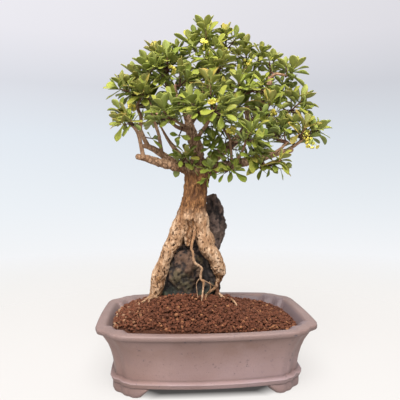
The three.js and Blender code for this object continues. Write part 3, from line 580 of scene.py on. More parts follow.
def clay_look():
    """Mauve brown unglazed clay: lilac low down, browner at the rim, with dark blotches of uneven size;
    painted highlight and shade at the band and the rim, and painted shade on the inner walls.
    """
    look = Look("unglazed_clay", 0.58, 0.4)
    high = look.times(look.axes(look.where)["Z"], 10)
    look.body = look.cloud(16, 4, (0.34, (0.178, 0.108, 0.092)), (0.66, (0.236, 0.15, 0.13)))
    lilac = look.times(look.cloud(10, 3, (0.42, 0.0), (0.64, 0.8)), look.ramp(high, (0.1, 0.9), (0.42, 0.15)))
    look.coat(lilac, (0.232, 0.168, 0.176))
    rust = look.cloud(38, 5, (0.44, 0.0), (0.66, 0.75), roughness=0.6)
    look.coat(look.times(rust, look.ramp(high, (0.3, 0.25), (0.5, 1.0))), (0.17, 0.094, 0.068))
    rim = look.ramp(high, (0.5, 0.0), (0.515, 0.72))
    look.coat(rim, (0.115, 0.076, 0.068))
    # Painted highlight along the top edge of the band near the foot of the wall
    band_highlight = look.ramp(high, (0.118, 0.0), (0.125, 0.4), (0.13, 0.4), (0.135, 0.0))
    look.coat(band_highlight, (0.25, 0.19, 0.198))
    # Painted shade in the groove above the band, under the rim's flare and under the band
    crease_shade = look.highest(
        look.ramp(high, (0.134, 0.0), (0.139, 0.7), (0.146, 0.4), (0.16, 0.0)),
        look.ramp(high, (0.485, 0.0), (0.503, 0.55), (0.513, 0.55), (0.519, 0.0)),
        look.ramp(high, (0.08, 0.5), (0.098, 0.0)),
    )
    look.coat(crease_shade, (0.085, 0.052, 0.046))
    streaks = look.cloud(26, 4, (0.45, 0.0), (0.75, 0.5), where=look.stretched(1, 1, 4))
    look.coat(streaks, (0.2, 0.125, 0.104))
    blotches = look.times(look.cloud(330, 4, (0.62, 0.0), (0.68, 0.75), roughness=0.6),
                          look.cloud(70, 3, (0.44, 0.1), (0.6, 1.0)))
    specks = look.times(look.ramp(look.cells(700, look.stretched(1, 1.2, 0.9)), (0.12, 0.5), (0.26, 0.0)),
                        look.cloud(260, 2, (0.5, 0.0), (0.6, 1.0)))
    dark = look.highest(blotches, specks)
    look.coat(dark, (0.045, 0.036, 0.046))
    # Painted shade on the pot's inner walls, heavier towards the right
    inner_wall_shade = look.marks()[0]
    look.coat(look.times(inner_wall_shade, 0.75), (0.1, 0.07, 0.075))
    return look.finish(look.math("ADD", look.noise(420, 6, 0.65), look.times(dark, -0.5)), 0.5, 0.0007)


def soil_look():
    look = Look("granular_soil", 0.92, 0.2)
    tone, dust, _, _ = look.marks()
    look.body = look.ramp(tone, (0.0, (0.02, 0.006, 0.003)), (0.45, (0.066, 0.019, 0.008)),
                          (0.8, (0.115, 0.037, 0.017)), (1.0, (0.2, 0.088, 0.038)))
    look.coat(look.cloud(800, 3, (0.42, 0.0), (0.75, 0.5)), (0.13, 0.056, 0.03))
    look.coat(dust, (0.27, 0.185, 0.11))
    return look.finish(look.noise(1300, 5), 0.6, 0.0005)


def stone_look():
    """Dark pitted stone, browner on the boulder and blackish green at its base with moss and painted shade;
    its hollows are marked and darkened as painted shade.
    """
    look = Look("dark_stone", 0.85, 0.3)
    hollow, warm, moss_and_shade, _ = look.marks()
    look.body = look.cloud(95, 8, (0.34, (0.026, 0.016, 0.013)), (0.52, (0.086, 0.056, 0.045)),
                           (0.7, (0.2, 0.138, 0.108)), roughness=0.72)
    look.coat(warm, look.cloud(60, 8, (0.34, (0.03, 0.016, 0.009)), (0.52, (0.07, 0.037, 0.022)),
                               (0.7, (0.125, 0.074, 0.046)), roughness=0.7))
    look.coat(look.times(look.cloud(46, 5, (0.48, 0.0), (0.6, 0.6)), warm), (0.038, 0.038, 0.016))
    # Blackish green: moss with painted shade at the base, and painted shadow at the front right
    look.coat(moss_and_shade, look.cloud(130, 6, (0.4, (0.007, 0.008, 0.006)), (0.56, (0.016, 0.019, 0.012)),
                              (0.7, (0.036, 0.038, 0.02))))
    # Near black in the hollows and the crevice: painted shade
    look.coat(look.ramp(hollow, (0.5, 0.0), (0.85, 0.9)), (0.007, 0.005, 0.005))
    return look.finish(look.math("ADD", look.noise(300, 8, 0.75), look.cells(260)), 0.8, 0.0014)


def bark_look():
    """Tan bark with dark pits low down, browner and rougher towards the branches and dark on the twigs;
    painted shade in its hollows, and lighter young bark on the branches that is partly painted light.
    """
    look = Look("bark", 0.82, 0.22)
    age, hollow, young_and_lit, _ = look.marks()
    grain = look.stretched(1, 1, 0.45)
    look.body = look.cloud(150, 8, (0.32, (0.12, 0.052, 0.022)), (0.46, (0.25, 0.141, 0.073)),
                           (0.66, (0.46, 0.322, 0.213)), roughness=0.62, where=grain)
    brown = look.cloud(210, 8, (0.34, (0.052, 0.02, 0.007)), (0.54, (0.18, 0.078, 0.027)),
                       (0.74, (0.36, 0.19, 0.074)), roughness=0.68, where=grain)
    look.coat(look.ramp(age, (0.1, 0.0), (0.4, 1.0)), brown)
    twig = look.cloud(190, 5, (0.35, (0.03, 0.013, 0.01)), (0.58, (0.09, 0.045, 0.031)),
                      (0.75, (0.2, 0.115, 0.075)))
    look.coat(look.ramp(age, (0.5, 0.0), (0.9, 1.0)), twig)
    # Lighter young bark on the branches, partly painted light that lifts them in the crown's shade
    young = look.cloud(170, 7, (0.34, (0.17, 0.085, 0.045)), (0.5, (0.36, 0.222, 0.13)),
                       (0.7, (0.48, 0.32, 0.21)), roughness=0.64, where=grain)
    look.coat(young_and_lit, young)
    pit = look.times(look.ramp(look.cells(430, look.stretched(1, 1, 0.7)), (0.16, 1.0), (0.32, 0.0)),
                     look.cloud(150, 4, (0.42, 0.0), (0.54, 1.0)))
    crack = look.cells(330, look.stretched(1, 1, 0.3), "DISTANCE_TO_EDGE")
    crack = look.times(look.ramp(crack, (0.02, 1.0), (0.1, 0.0)),
                       look.ramp(age, (0.1, 0.12), (0.35, 0.8), (0.6, 0.2)))
    # Dark in the pits and cracks, and in the hollows as painted shade
    dark = look.highest(look.times(pit, 0.75), crack, look.ramp(hollow, (0.52, 0.0), (0.95, 0.9)))
    look.coat(dark, (0.055, 0.022, 0.01))
    height = look.math("ADD", look.noise(330, 8, 0.7, grain), look.times(dark, -0.8))
    return look.finish(height, 0.8, 0.0012)


def leaf_look():
    """Leaves from deep green to yellow green, paler below; rims and feet of some are flushed with bronze."""
    look = Look("leaf_green", 0.5, 0.22)
    tone, rim, flush, top = look.marks()
    look.body = look.ramp(tone, (0.0, (0.042, 0.068, 0.01)), (0.25, (0.108, 0.154, 0.018)),
                          (0.55, (0.2, 0.236, 0.032)), (1.0, (0.34, 0.325, 0.05)))
    look.coat(look.cloud(420, 3, (0.42, 0.0), (0.8, 0.4)), (0.29, 0.31, 0.05))
    bronze = look.times(look.ramp(look.math("POWER", rim, 2.0), (0.0, 0.3), (1.0, 1.0)), flush)
    look.coat(bronze, (0.37, 0.19, 0.05))
    look.body = look.mix(top, look.mix(0.5, look.body, (0.28, 0.33, 0.11)), look.body)
    glow = look.node("ShaderNodeBsdfTranslucent", Color=look.mix(0.5, look.body, (0.29, 0.31, 0.03)))
    both = look.node("ShaderNodeMixShader", Fac=0.22)
    look.feed(both.inputs[1], look.shader.outputs[0])
    look.feed(both.inputs[2], glow.outputs[0])
    look.feed(look.tree.nodes["Material Output"].inputs["Surface"], both.outputs[0])
    return look.finish(look.noise(700, 3), 0.2, 0.0004)


def petal_look():
    look = Look("flower_yellow", 0.5, 0.4)
    look.body = look.ramp(look.marks()[0], (0.0, (0.3, 0.38, 0.07)), (0.5, (0.56, 0.5, 0.08)),
                          (1.0, (0.74, 0.61, 0.1)))
    return look.finish(look.noise(1500, 2), 0.2, 0.0002)


def plastic_look():
    look = Look("screen_plastic", 0.5, 0.4)
    look.body = look.mix(look.noise(300, 2), (0.012, 0.013, 0.015), (0.03, 0.03, 0.034))
    return look.finish(look.noise(900, 3), 0.3, 0.0003)


def bowed(share, bow):
    return bow * (1 - share * share)


def quarter_outline(inset, cut, rib=0):
    """A quarter of the pot's outline, from the middle of a long side to the middle of a short one.

    Its corner is cut and notched, or with a rib it is one wide curve with two ribs that stand into the pot.
    """
    half_width, half_depth = POT_WIDTH / 2 - BOW_X - inset, POT_DEPTH / 2 - BOW_Y - inset
    bend = min(CORNER_ROUND, cut * 0.3)
    long_side = np.linspace(0, 1 - (cut + bend) / half_width, 22)[:-1]
    short_side = np.linspace(1 - (cut + bend) / half_depth, 0, 12)[1:]
    points = [(share * half_width, half_depth + bowed(share, BOW_Y)) for share in long_side]
    first, last = np.array([half_width - cut, half_depth]), np.array([half_width, half_depth - cut])
    before = np.array([first[0] - bend, half_depth + bowed(1 - bend / half_width, BOW_Y)])
    after = np.array([half_width + bowed(1 - bend / half_depth, BOW_X), last[1] - bend])
    if rib:
        way = -np.array([1, 1]) * math.sqrt(0.5)
        for t in np.linspace(0, 1, 21):
            s = 1 - t
            corner = before * s**3 + 3 * first * t * s**2 + 3 * last * t**2 * s + after * t**3
            points.append(corner + way * rib * (0.5 - 0.5 * math.cos(4 * math.pi * t)))
    else:
        notch = (first + last) / 2 - CORNER_NOTCH * math.sqrt(0.5)
        arcs = [
            (before, first, first + unit(notch - first) * bend),
            (notch + unit(first - notch) * bend * 0.6, notch, notch + unit(last - notch) * bend * 0.6),
            (last + unit(notch - last) * bend, last, after),
        ]
        for a, b, c in arcs:
            points += [a * (1 - t) ** 2 + 2 * b * t * (1 - t) + c * t**2 for t in np.linspace(0, 1, 7)]
    points += [(half_width + bowed(share, BOW_X), share * half_depth) for share in short_side]
    return points


def outline(inset, z, cut_loss=CUT_LOSS, rib=0):
    """The pot's outline at one height, anticlockwise seen from above."""
    quarter = quarter_outline(inset, CORNER_CUT - inset * cut_loss, rib)
    back = quarter[::-1]
    ring = list(back) + [(-x, y) for x, y in quarter[1:]]
    ring += [(-x, -y) for x, y in back[1:]] + [(x, -y) for x, y in quarter[1:-1]]
    return [np.array([x, y, z]) for x, y in ring]


def inside_pot(x, y, margin):
    """Whether a point on the soil lies inside the pot's inner wall."""
    inset = SOIL_INSET + margin
    half_width, half_depth = POT_WIDTH / 2 - BOW_X - inset, POT_DEPTH / 2 - BOW_Y - inset
    within_sides = abs(x) <= half_width + bowed(y / half_depth, BOW_X)
    within_ends = abs(y) <= half_depth + bowed(x / half_width, BOW_Y)
    return within_sides and within_ends and abs(x) + abs(y) < half_width + half_depth - CORNER_CUT * 0.8


def foot(skin, sign_x, sign_y):
    """One bracket foot: it follows the pot's corner, and its underside curls up at both ends."""
    sections = [quarter_outline(inset, CORNER_CUT - inset * CUT_LOSS) for inset, _ in FOOT_SECTION]
    outer = sections[0]
    run = [0.0]
    for a, b in zip(outer, outer[1:]):
        run.append(run[-1] + float(np.linalg.norm(np.subtract(b, a))))
    corner = next(i for i, (x, _) in enumerate(outer) if x > outer[-1][0] - CORNER_CUT * 0.7)
    reach = FOOT_LENGTH + FOOT_CURL - CORNER_CUT * 0.5
    rings = []
    for i, place in enumerate(run):
        left = reach - abs(place - run[corner])
        if left < 0:
            continue
        low = FOOT_HEIGHT * (1 - smoothstep(left, 0, FOOT_CURL * 1.3))
        ring = []
        for (_, share), section in zip(FOOT_SECTION, sections):
            x, y = section[i]
            z = low + (FOOT_HEIGHT - low) * share + 0.02 * share
            ring.append(np.array([x * sign_x, y * sign_y, z]))
        rings.append(ring)
    loft(skin, rings)
    if sign_x * sign_y < 0:
        skin.faces = [face[::-1] for face in skin.faces]


def build_pot(look):
    skin = Skin()
    inner = [outline(inset, z, INNER_CUT_LOSS, INNER_RIB) for z, inset in INNER_WALL]
    loft(skin, [outline(inset, z) for z, inset in OUTER_WALL] + inner)
    drains = []
    for x in (-DRAIN_X, DRAIN_X):
        hole = Skin()
        tube(hole, [(x, 0, 2), (x, 0, FLOOR_TOP + 6)], [DRAIN_RADIUS] * 2, sides=40, step=8)
        cutter = hole.as_object("cutter")
        bpy.context.scene.collection.objects.link(cutter)
        drains.append(("BOOLEAN", {"object": cutter, "operation": "DIFFERENCE", "solver": "EXACT"}))
    pot = solid_from(skin, "pot_body", *drains)
    for _, settings in drains:
        bpy.data.objects.remove(settings["object"])
    settle(pot, look, "unglazed_clay", "pot")
    pot.data.set_sharp_from_angle(angle=SHARP_ANGLE)
    points, normals = shape_of(pot.data)
    faces_in = (points[:, :2] * normals[:, :2]).sum(1) < 0
    # Marks the inner walls above 30 mm for painted shade, from 0.3 on the left to 1 on the right
    inner_wall_shade = [
        float(z > 30 and inward and inside_pot(x, y, -4))
        for (x, y, z), inward in zip(points, faces_in)
    ]
    darker_right = 0.3 + 0.7 * smoothstep(points[:, 0], -40, 70)
    set_marks(pot.data, (np.array(inner_wall_shade) * darker_right)[:, None])


def build_feet(look):
    for sign_x, side in ((-1, "left"), (1, "right")):
        for sign_y, end in ((-1, "front"), (1, "back")):
            skin = Skin()
            foot(skin, sign_x, sign_y)
            made = skin.piece(f"pot_foot_{side}_{end}", look, "unglazed_clay")
            made.data.set_sharp_from_angle(angle=SHARP_ANGLE)


def swell(x, y, height, middle, size, power):
    """How high a low mound is at a place. The higher its power, the flatter its top from left to right."""
    across, along = (x - middle[0]) / size[0], (y - middle[1]) / size[1]
    return height * math.exp(-(across**power) - along**2)


def soil_height(x, y):
    """The heap's height: steep near the pot's wall, then rising gently to a mound left of the middle."""
    off_x, off_y = x - SOIL_MIDDLE[0], y - SOIL_MIDDLE[1]
    across = abs(off_x) / (SOIL_REACH[0] - math.copysign(1, off_x) * SOIL_MIDDLE[0])
    along = abs(off_y) / SOIL_REACH[1]
    away = min(1.0, (across**SOIL_ROUND + along**SOIL_ROUND) ** (1 / SOIL_ROUND))
    heap = SOIL_BROW * (1 - away**9) + SOIL_RISE * (1 - away**1.4)
    return SOIL_EDGE + heap + swell(x, y, *MOUND) + swell(x, y, *CRUMBS)


def build_soil_bed(look):
    """The bed that fills the pot below the granules."""
    bed = Skin()
    rings = [[p * (1, 1, 0) + (0, 0, FLOOR_TOP + 2) for p in outline(BED_FOOT, 0)]]
    rim = outline(BED_RIM, 0)
    for share in (1, 0.9, 0.75, 0.6, 0.45, 0.3, 0.15, 0.02):
        places = [(x * share, y * share) for x, y, _ in rim]
        rings.append([np.array([x, y, soil_height(x, y) - BED_DEPTH]) for x, y in places])
    # The bed is near black: painted shade in the gaps between the granules
    loft(bed, rings, (0.1, 0, 0))
    bed.piece("soil_bed", look, "granular_soil", "soil")


def build_granules(look):
    """A heap of granules over the bed, in layers, with a few dusty ones at the left."""
    random = seeded(SOIL_SEED)
    kinds = [grain_shape(random) for _ in range(GRAIN_KINDS)]
    heaps = [Skin() for _ in range(GRAIN_HEAPS)]
    columns, rows = int(POT_WIDTH / GRAIN_STEP), int(POT_DEPTH / (GRAIN_STEP * GRAIN_ROW))
    for layer, (drop, chance) in enumerate(GRAIN_LAYERS):
        for row in range(rows):
            for column in range(columns):
                shift = 0.5 if (row + layer) % 2 else 0
                x = (column + shift - columns / 2) * GRAIN_STEP + (random() - 0.5) * 2
                y = (row - rows / 2 + 0.3 * layer) * GRAIN_STEP * GRAIN_ROW + (random() - 0.5) * 2
                keep, size, tone, height = random(), random(), random(), random()
                if keep > chance or not inside_pot(x, y, 1.6):
                    continue
                radius = GRAIN_RADIUS * (0.62 + 0.62 * size)
                corners, faces = kinds[int(random() * len(kinds))]
                turn = random() * 2 * math.pi
                cos, sin = math.cos(turn), math.sin(turn)
                spin = np.array([[cos, -sin, 0], [sin, cos, 0], [0, 0, 1]])
                middle = np.array([x, y, soil_height(x, y) - drop + (height - 0.5) * 1.2])
                # The lowest layer is darker, painted shade between the granules above it; granules towards
                # the left are lighter
                shade = 0.22 + 0.5 * tone + (0.25 if tone > 0.95 else 0) - (0.14 if layer == 0 else 0)
                shade += 0.2 * smoothstep(-x, 40, 85)
                dust = 0.6 * smoothstep(-x + 4 * height, 50, 90) if tone > 0.8 else 0
                heap = heaps[(row // 2) % GRAIN_HEAPS]
                heap.add(corners @ spin.T * radius + middle, faces, (shade, dust, 0))
    for index, heap in enumerate(heaps):
        heap.piece(f"soil_granules_{index + 1}", look, "granular_soil", smooth=False)


def grain_shape(random):
    """A crumb: a ball of 20 faces with its corners pushed in and out."""
    golden = (1 + 5**0.5) / 2
    corners = [np.roll((a, b * golden, 0), axis) for axis in range(3) for b in (1, -1) for a in (-1, 1)]
    faces = [
        (0, 11, 5), (0, 5, 1), (0, 1, 7), (0, 7, 10), (0, 10, 11), (1, 5, 9), (5, 11, 4), (11, 10, 2),
        (10, 7, 6), (7, 1, 8), (3, 9, 4), (3, 4, 2), (3, 2, 6), (3, 6, 8), (3, 8, 9), (4, 9, 5),
        (2, 4, 11), (6, 2, 10), (8, 6, 7), (9, 8, 1),
    ]
    points = [unit(corner) * (0.78 + 0.44 * random()) for corner in corners]
    stretch = np.array([0.85 + 0.4 * random(), 0.85 + 0.3 * random(), 0.75 + 0.3 * random()])
    return np.array(points) * stretch, faces


def lump(skin, middle, size, lean):
    """A rounded block that leans by a share of its height."""

    def place(point, _):
        point = point * (1 + 0.16 * (1 - np.abs(point).max())) * size
        return point + middle + np.array([lean * point[2], 0, 0])

    ball(skin, 24, 32, place)


def build_stone(look):
    skin = Skin()
    for block in STONE:
        lump(skin, *block)
    stone = solid_from(skin, "stone", ("REMESH", {"mode": "VOXEL", "voxel_size": STONE_VOXEL}))
    points, normals = shape_of(stone.data)
    small = (3.2, 1.5, 1.2), (1.7, 0.7, 1)
    heights = relief(points, (17, 3.6, 1.6), (7, 2.6, 1.3), *small)
    ridges = 1.8 * np.abs(relief(points, (9, 1.5, 2.4)))
    x, y, z = points.T
    front = smoothstep(-y, -8, -2)
    (middle_x, middle_z), (half_x, half_z) = BOULDER
    off = np.hypot((x - middle_x) / half_x, (z - middle_z) / half_z) + 0.014 * heights
    # A dent round the boulder's front, which the hollow mark also darkens as painted shade
    crevice = np.exp(-(((off - 1.04) / 0.1) ** 2)) * front
    rise = (heights - ridges) * (0.4 + 0.6 * smoothstep(z, 66, 76)) - 2.4 * crevice
    shaped = points + normals * rise[:, None]
    move_points(stone.data, shaped)
    fine = relief(points, *small)
    boulder = smoothstep(-off, -1.08, -0.94) * front
    # Painted shadow on the right of the stone's lower front, below 108 to 120 mm
    shade = smoothstep(x, -6, 2) * smoothstep(-z, -120, -108) * (1 - boulder) * front
    # The hollow mark is painted shade: darker in the hollows, the crevice and the painted shadow
    hollow = 0.5 - 0.42 * fine - 0.1 * (heights - fine) + 0.12 * ridges + 0.4 * crevice + 0.16 * shade
    # Blackish green low down: moss, with painted shade where the stone meets the soil
    moss_and_shade = smoothstep(-z + 0.8 * heights, -90, -76) * (1 - 0.85 * boulder)
    set_marks(stone.data, np.stack([hollow, 0.15 + 0.85 * boulder, np.maximum(moss_and_shade, 0.5 * shade)], 1))
    settle(stone, look, "dark_stone", "rock")


def furrow_depth(x, z):
    """How deep the fork's furrows are at points of its front, as a share."""
    depth, bend = np.zeros(len(x)), 0.9 * np.sin(z * 0.55) + 0.5 * np.sin(z * 1.3)
    for (top_x, top_z), (low_x, low_z) in FURROWS:
        share = np.clip((top_z - z) / (top_z - low_z), 0, 1)
        beyond = np.maximum(np.maximum(z - top_z, low_z - z), 0)
        off = np.hypot(x - top_x - (low_x - top_x) * share + bend, beyond * 0.3)
        depth = np.maximum(depth, np.exp(-((off / 1.3) ** 2)))
    return depth


def build_trunk(look):
    """The trunk, its thick roots and the feet of its branches, grown into one another."""
    skin = Skin()
    for points, radii in TRUNK:
        tube(skin, points, radii, sides=20, step=2.4, wobble=0.1, round_end=True)
    for points, radii, _ in BRANCHES:
        if radii[0] > THICK_BRANCH:
            tube(skin, points, radii, sides=14, step=2.2, wobble=0.1, round_end=True)
    trunk = solid_from(skin, "trunk", ("REMESH", {"mode": "VOXEL", "voxel_size": TRUNK_VOXEL}),
                       ("SMOOTH", {"factor": 0.5, "iterations": 5}))
    points, normals = shape_of(trunk.data)
    x, y, z = points.T
    stem = smoothstep(z, 134, 158)
    branch = smoothstep(z, 182, 196) * smoothstep(np.hypot(x + 8, y), 7, 18)
    calm = np.exp(-(((x + 12.5) / 10) ** 2) - ((z - 137) / 15) ** 2) * (normals[:, 1] < 0.2)
    furrow = furrow_depth(x, z) * smoothstep(-normals[:, 1], 0, 0.4)
    lumps = relief(points, (11, 1.1, 1.6), (5, 0.75, 1.5))
    pits = -np.maximum(relief(points, (1.7, 1.0, 1.5)) - 0.2, 0) * 3 + relief(points, (1.3, 0.35, 1.3))
    bark = relief(points, (2.1, 1.5, 4.5), (1.2, 0.7, 2.4), (4, 0.8, 3))
    fine = pits * (1 - stem) * (1 - 0.8 * calm) + bark * stem * (1 - 0.85 * branch)
    rise = lumps * (1 - 0.6 * branch) * (1 - 0.35 * stem) * (1 - 0.7 * calm)
    rise = rise + fine * (1 - furrow) - 1.9 * furrow
    stained = relief(points, (6, 1, 1.4), (2.5, 0.5, 1.2))
    move_points(trunk.data, points + normals * rise[:, None])
    stain = smoothstep(stained, 0.05, 0.45) * smoothstep(-z, -100, -86)
    # Browner on the undersides of the legs: painted shade
    under = smoothstep(-normals[:, 2], 0.15, 0.7) * (1 - stem)
    pale = smoothstep(x, 30, 44) * smoothstep(-z, -214, -206)
    # The right leg below its knee, from 84 down to 68 mm, is darkened: painted shade
    knee = smoothstep(x, 4, 8) * smoothstep(-z, -86, -82) * smoothstep(z, 67, 70)
    # Age browns the upper trunk and the stains, and adds painted shade under the legs, below the knee and in
    # the fork's furrows
    age = np.maximum(0.42 * stem * (1 - 0.3 * branch) * (1 - 0.7 * pale), 0.34 * np.maximum(stain, under))
    age = np.maximum(np.maximum(age, 0.3 * calm), np.maximum(0.5 * furrow, 0.75 * knee))
    # The hollow mark: painted shade in the bark's hollows, the furrows and below the knee
    hollow = 0.5 - fine * 0.42 * (1 - furrow) + 0.12 * furrow + 0.35 * knee
    # Lighter young bark from the branches up, half as much on the left, partly painted light for the crown's
    # shade
    young_and_lit = smoothstep(z, 181, 190) * (1 - 0.5 * smoothstep(-x, 12, 30))
    set_marks(trunk.data, np.stack([age, hollow, young_and_lit], 1))
    settle(trunk, look, "bark", "tree")


def branch_seats():
    """Where twigs may grow from a branch, and how thick the branch is there."""
    seats = []
    for points, radii, stretches in BRANCHES:
        for ring in range(1, stretches + 1):
            share = ring / stretches
            seats.append((spline(points, share) - heading(points, share) * SEAT_DEPTH, between(radii, share)))
    return seats


def nearest_seat(seats, crown):
    return min(seats, key=lambda seat: np.linalg.norm(seat[0] - crown) + 0.7 * max(0, seat[0][2] - crown[2]))


def spray_twig(seats, crown):
    """A spray's twig, the branch's radius at its foot and its shoot's way, by the rule of the CAD sprays."""
    at, thick = nearest_seat(seats, crown)
    reach = crown - at
    way = unit(unit(crown - CANOPY_MIDDLE) * 0.55 + UP * 0.45 + unit(reach) * 0.9)
    start = crown - way * min(SHOOT_LENGTH, max(6, np.linalg.norm(reach) - 4))
    run = np.linalg.norm(start - at)
    middle = at + (start - at) * 0.45 + UP * 0.06 * run
    return [at, middle, start - way * min(2.5, 0.3 * run), start], thick, way


def sheet_faces(rows, columns):
    """The faces of a thin sheet: its upper skin, its lower skin and the narrow band round its edge."""
    under, last = rows * columns, (rows - 1) * columns
    faces = []
    for row in range(rows - 1):
        for column in range(columns - 1):
            a = row * columns + column
            faces.append((a, a + 1, a + columns + 1, a + columns))
            faces.append(tuple(under + corner for corner in (a + columns, a + columns + 1, a + 1, a)))
    rim = [*range(0, last, columns), *range(last, under)]
    rim += [*range(last - 1, 0, -columns), *range(columns - 2, 0, -1)]
    return faces + [(a, b, b + under, a + under) for a, b in zip(rim, rim[1:] + rim[:1])]


LEAF_FACES = sheet_faces(len(LEAF_ROWS), len(LEAF_COLUMNS))
PETAL_FACES = sheet_faces(len(PETAL_ROWS), len(PETAL_COLUMNS))


def leaf(skin, foot_at, way, face, length, random, tone, flush):
    """A small blunt leaf: narrow at its foot, widest past its middle, hollow along its rib and bent over."""
    cup, bend, twist = 0.12 + 0.5 * random() ** 2, -0.08 + 0.42 * random(), (random() - 0.5) * 0.7
    wide, phase = 0.84 + 0.34 * random(), 6.3 * random()
    share, half, side = LEAF_GRID.T
    off = side * half * wide
    lift = cup * np.abs(side) ** 1.6 * half - bend * share**2 * 0.7
    lift = lift + 0.016 * np.sin(share * 10 + phase + side) * np.abs(side)
    turn = twist * share
    lean = np.cross(way, face) * np.cos(turn)[:, None] + face * np.sin(turn)[:, None]
    top = foot_at + length * (share[:, None] * way + off[:, None] * lean + lift[:, None] * face)
    rim = np.maximum(np.maximum(np.abs(side) * 0.75, share**5), (1 - share) ** 2)
    hue = np.full(len(share), np.clip(tone + 0.42 * (random() - 0.5), 0, 1))
    bronzed = np.full(len(share), min(1, flush * (0.3 + 1.5 * random() ** 2)))
    above = np.stack([hue, rim, bronzed, np.ones(len(share))], 1)
    below = above * (1, 1, 1, 0)
    skin.add(np.concatenate([top, top - face * LEAF_THICKNESS]), LEAF_FACES, np.concatenate([above, below]))


# Each flower cluster's middle, and the way from there to the viewer
BLOOMS = in_millimetres([np.mean(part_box(f"raceme_{index + 1}"), 0) for index in range(BLOOM_COUNT)])
BLOOM_SIGHT = (EYE - BLOOMS) / np.linalg.norm(EYE - BLOOMS, axis=1)[:, None]


def hides_flowers(at):
    """Whether something here would stand between the viewer and a flower cluster."""
    off = at - BLOOMS
    ahead = (off * BLOOM_SIGHT).sum(1)
    beside = np.linalg.norm(off - BLOOM_SIGHT * ahead[:, None], axis=1)
    return bool(((ahead > -3) & (ahead < 60) & (beside < 7)).any())


def tuft(skin, at, way, count, length, random, pitch, tone, flush):
    """Leaves that spread from a shoot's end, the lower ones wider and longer than the upper ones."""
    side, other = square_to(way)
    turn = random() * 2 * math.pi
    for k in range(count):
        turn += 2.4 + (random() - 0.5) * 0.6
        lean = pitch[1] + (pitch[0] - pitch[1]) * k / max(count - 1, 1) + (random() - 0.5) * 20
        out = around(side, other, turn)
        along = unit(around(way, out, math.radians(lean)))
        face = way * 0.7 + UP * 0.5 + out * (random() - 0.5) * 0.4
        face = unit(face - along * np.dot(face, along))
        size = length * (1.06 - 0.34 * k / count) * (0.8 + 0.38 * random())
        young = tone + 0.14 * k / count
        if not hides_flowers(at + along * size * 0.6):
            leaf(skin, at + along * 0.3 + way * 0.45 * k, along, face, size, random, young, flush)


def spine(skin, at, way, length):
    points = [at, at + way * length * 0.5, at + way * length]
    tube(skin, points, [0.42, 0.26, 0.07], sides=5, step=3, marks=(1, 0.5, 0))


def sideways(way, random, share):
    """A way that leaves another one at random round it."""
    side, other = square_to(way)
    turn = random() * 2 * math.pi
    return unit(way * share + side * math.cos(turn) + other * math.sin(turn))


def ripeness(at):
    """How yellow the leaves are: most at the crown's top and outside, least low down inside it."""
    off = np.linalg.norm((np.asarray(at) - CANOPY_MIDDLE) / (100, 60, 90))
    return 0.2 + 0.22 * smoothstep(at[2], 195, 300) + 0.24 * smoothstep(off, 0.4, 1.05)


def build_spray(index, crown, seats, twigs, look):
    """One spray: two rosettes on its shoot, tufts and spines along its twig, and one or two side shoots."""
    random = seeded(SPRAY_SEED + index)
    skin = Skin()
    twig, thick, way = spray_twig(seats, crown)
    start = twig[-1]
    radii = [min(thick * 0.8, 1.5), 1.0, 0.9, 0.85, 0.6]
    tube(twigs, [*twig, crown], radii, sides=8, step=1.8, wobble=0.16, marks=(0.8, 0.5, 0), round_end=True)
    flush, tone = 0.15 + 0.85 * random() ** 1.5, ripeness(crown) + 0.16 * (random() - 0.5)
    full = float(smoothstep(crown[2], 180, 220))
    length = LEAF_LENGTH * (0.78 + 0.25 * full) * SHORT_LEAVED.get(index + 1, 1)

    def leaves(at, out, count, size, pitch, darker=0, bronze=1):
        tuft(skin, at, out, round(count), length * size, random, pitch, tone - darker, flush * bronze)

    rosette = unit(way + UP * 0.5)
    leaves(start + (crown - start) * 0.3, rosette, 3 + 2 * full, 1, (60, 86), darker=0.08, bronze=0.4)
    leaves(start + (crown - start) * 0.72, rosette, 6 + 3 * full, 1.04, (12, 76))
    for share in (0.4, 0.72):
        at, along = spline(twig, share), heading(twig, share)
        out = unit(sideways(along, random, 0.5) + UP * 0.4)
        leaves(at + out * 0.8, out, 2 + 2 * full, 0.76, (20, 76), darker=0.1, bronze=0.4)
        spine(twigs, at, unit(sideways(along, random, 0.3)), 6 + 4 * random())
    for reach in (9, 8) if full > 0.4 else (9,):
        out = sideways(way, random, 0.55)
        knee, tip = start - way * 2, start + out * reach
        shoot = [knee, (knee + tip) / 2 + way, tip]
        tube(twigs, shoot, [0.8, 0.6, 0.5], sides=6, step=2, wobble=0.1, marks=(0.9, 0.5, 0), round_end=True)
        leaves(tip, unit(out + UP * 0.4), 4 + 2 * full, 0.86, (14, 76), darker=0.04, bronze=0.7)
    skin.piece(f"leaves_{index + 1:02d}", look, "leaf_green", f"spray_{index + 1:02d}")


def build_fillers(seats, twigs, look):
    """The small tufts between the sprays."""
    fill = Skin()
    for index, (x, y, z, count) in enumerate(FILLERS):
        at = np.array([x, y, z], float)
        seat, _ = nearest_seat(seats, at)
        forward = np.array([0, 0.55 * (y < 0), 0])
        way = unit(unit(at - seat) + unit(at - CANOPY_MIDDLE) * 0.5 + UP * 0.4 - forward)
        shoot = [seat, (seat + at) / 2 - way * 1.5, at + way * 2]
        tube(twigs, shoot, [0.9, 0.7, 0.5], sides=6, step=2.4, wobble=0.14, marks=(0.85, 0.5, 0))
        length = LEAF_LENGTH * (0.66 + 0.27 * smoothstep(z, 200, 235))
        tuft(fill, at, way, count, length, seeded(FILLER_SEED + index), (20, 84), ripeness(at), 0.15)
    fill.piece("leaves_inner", look, "leaf_green")


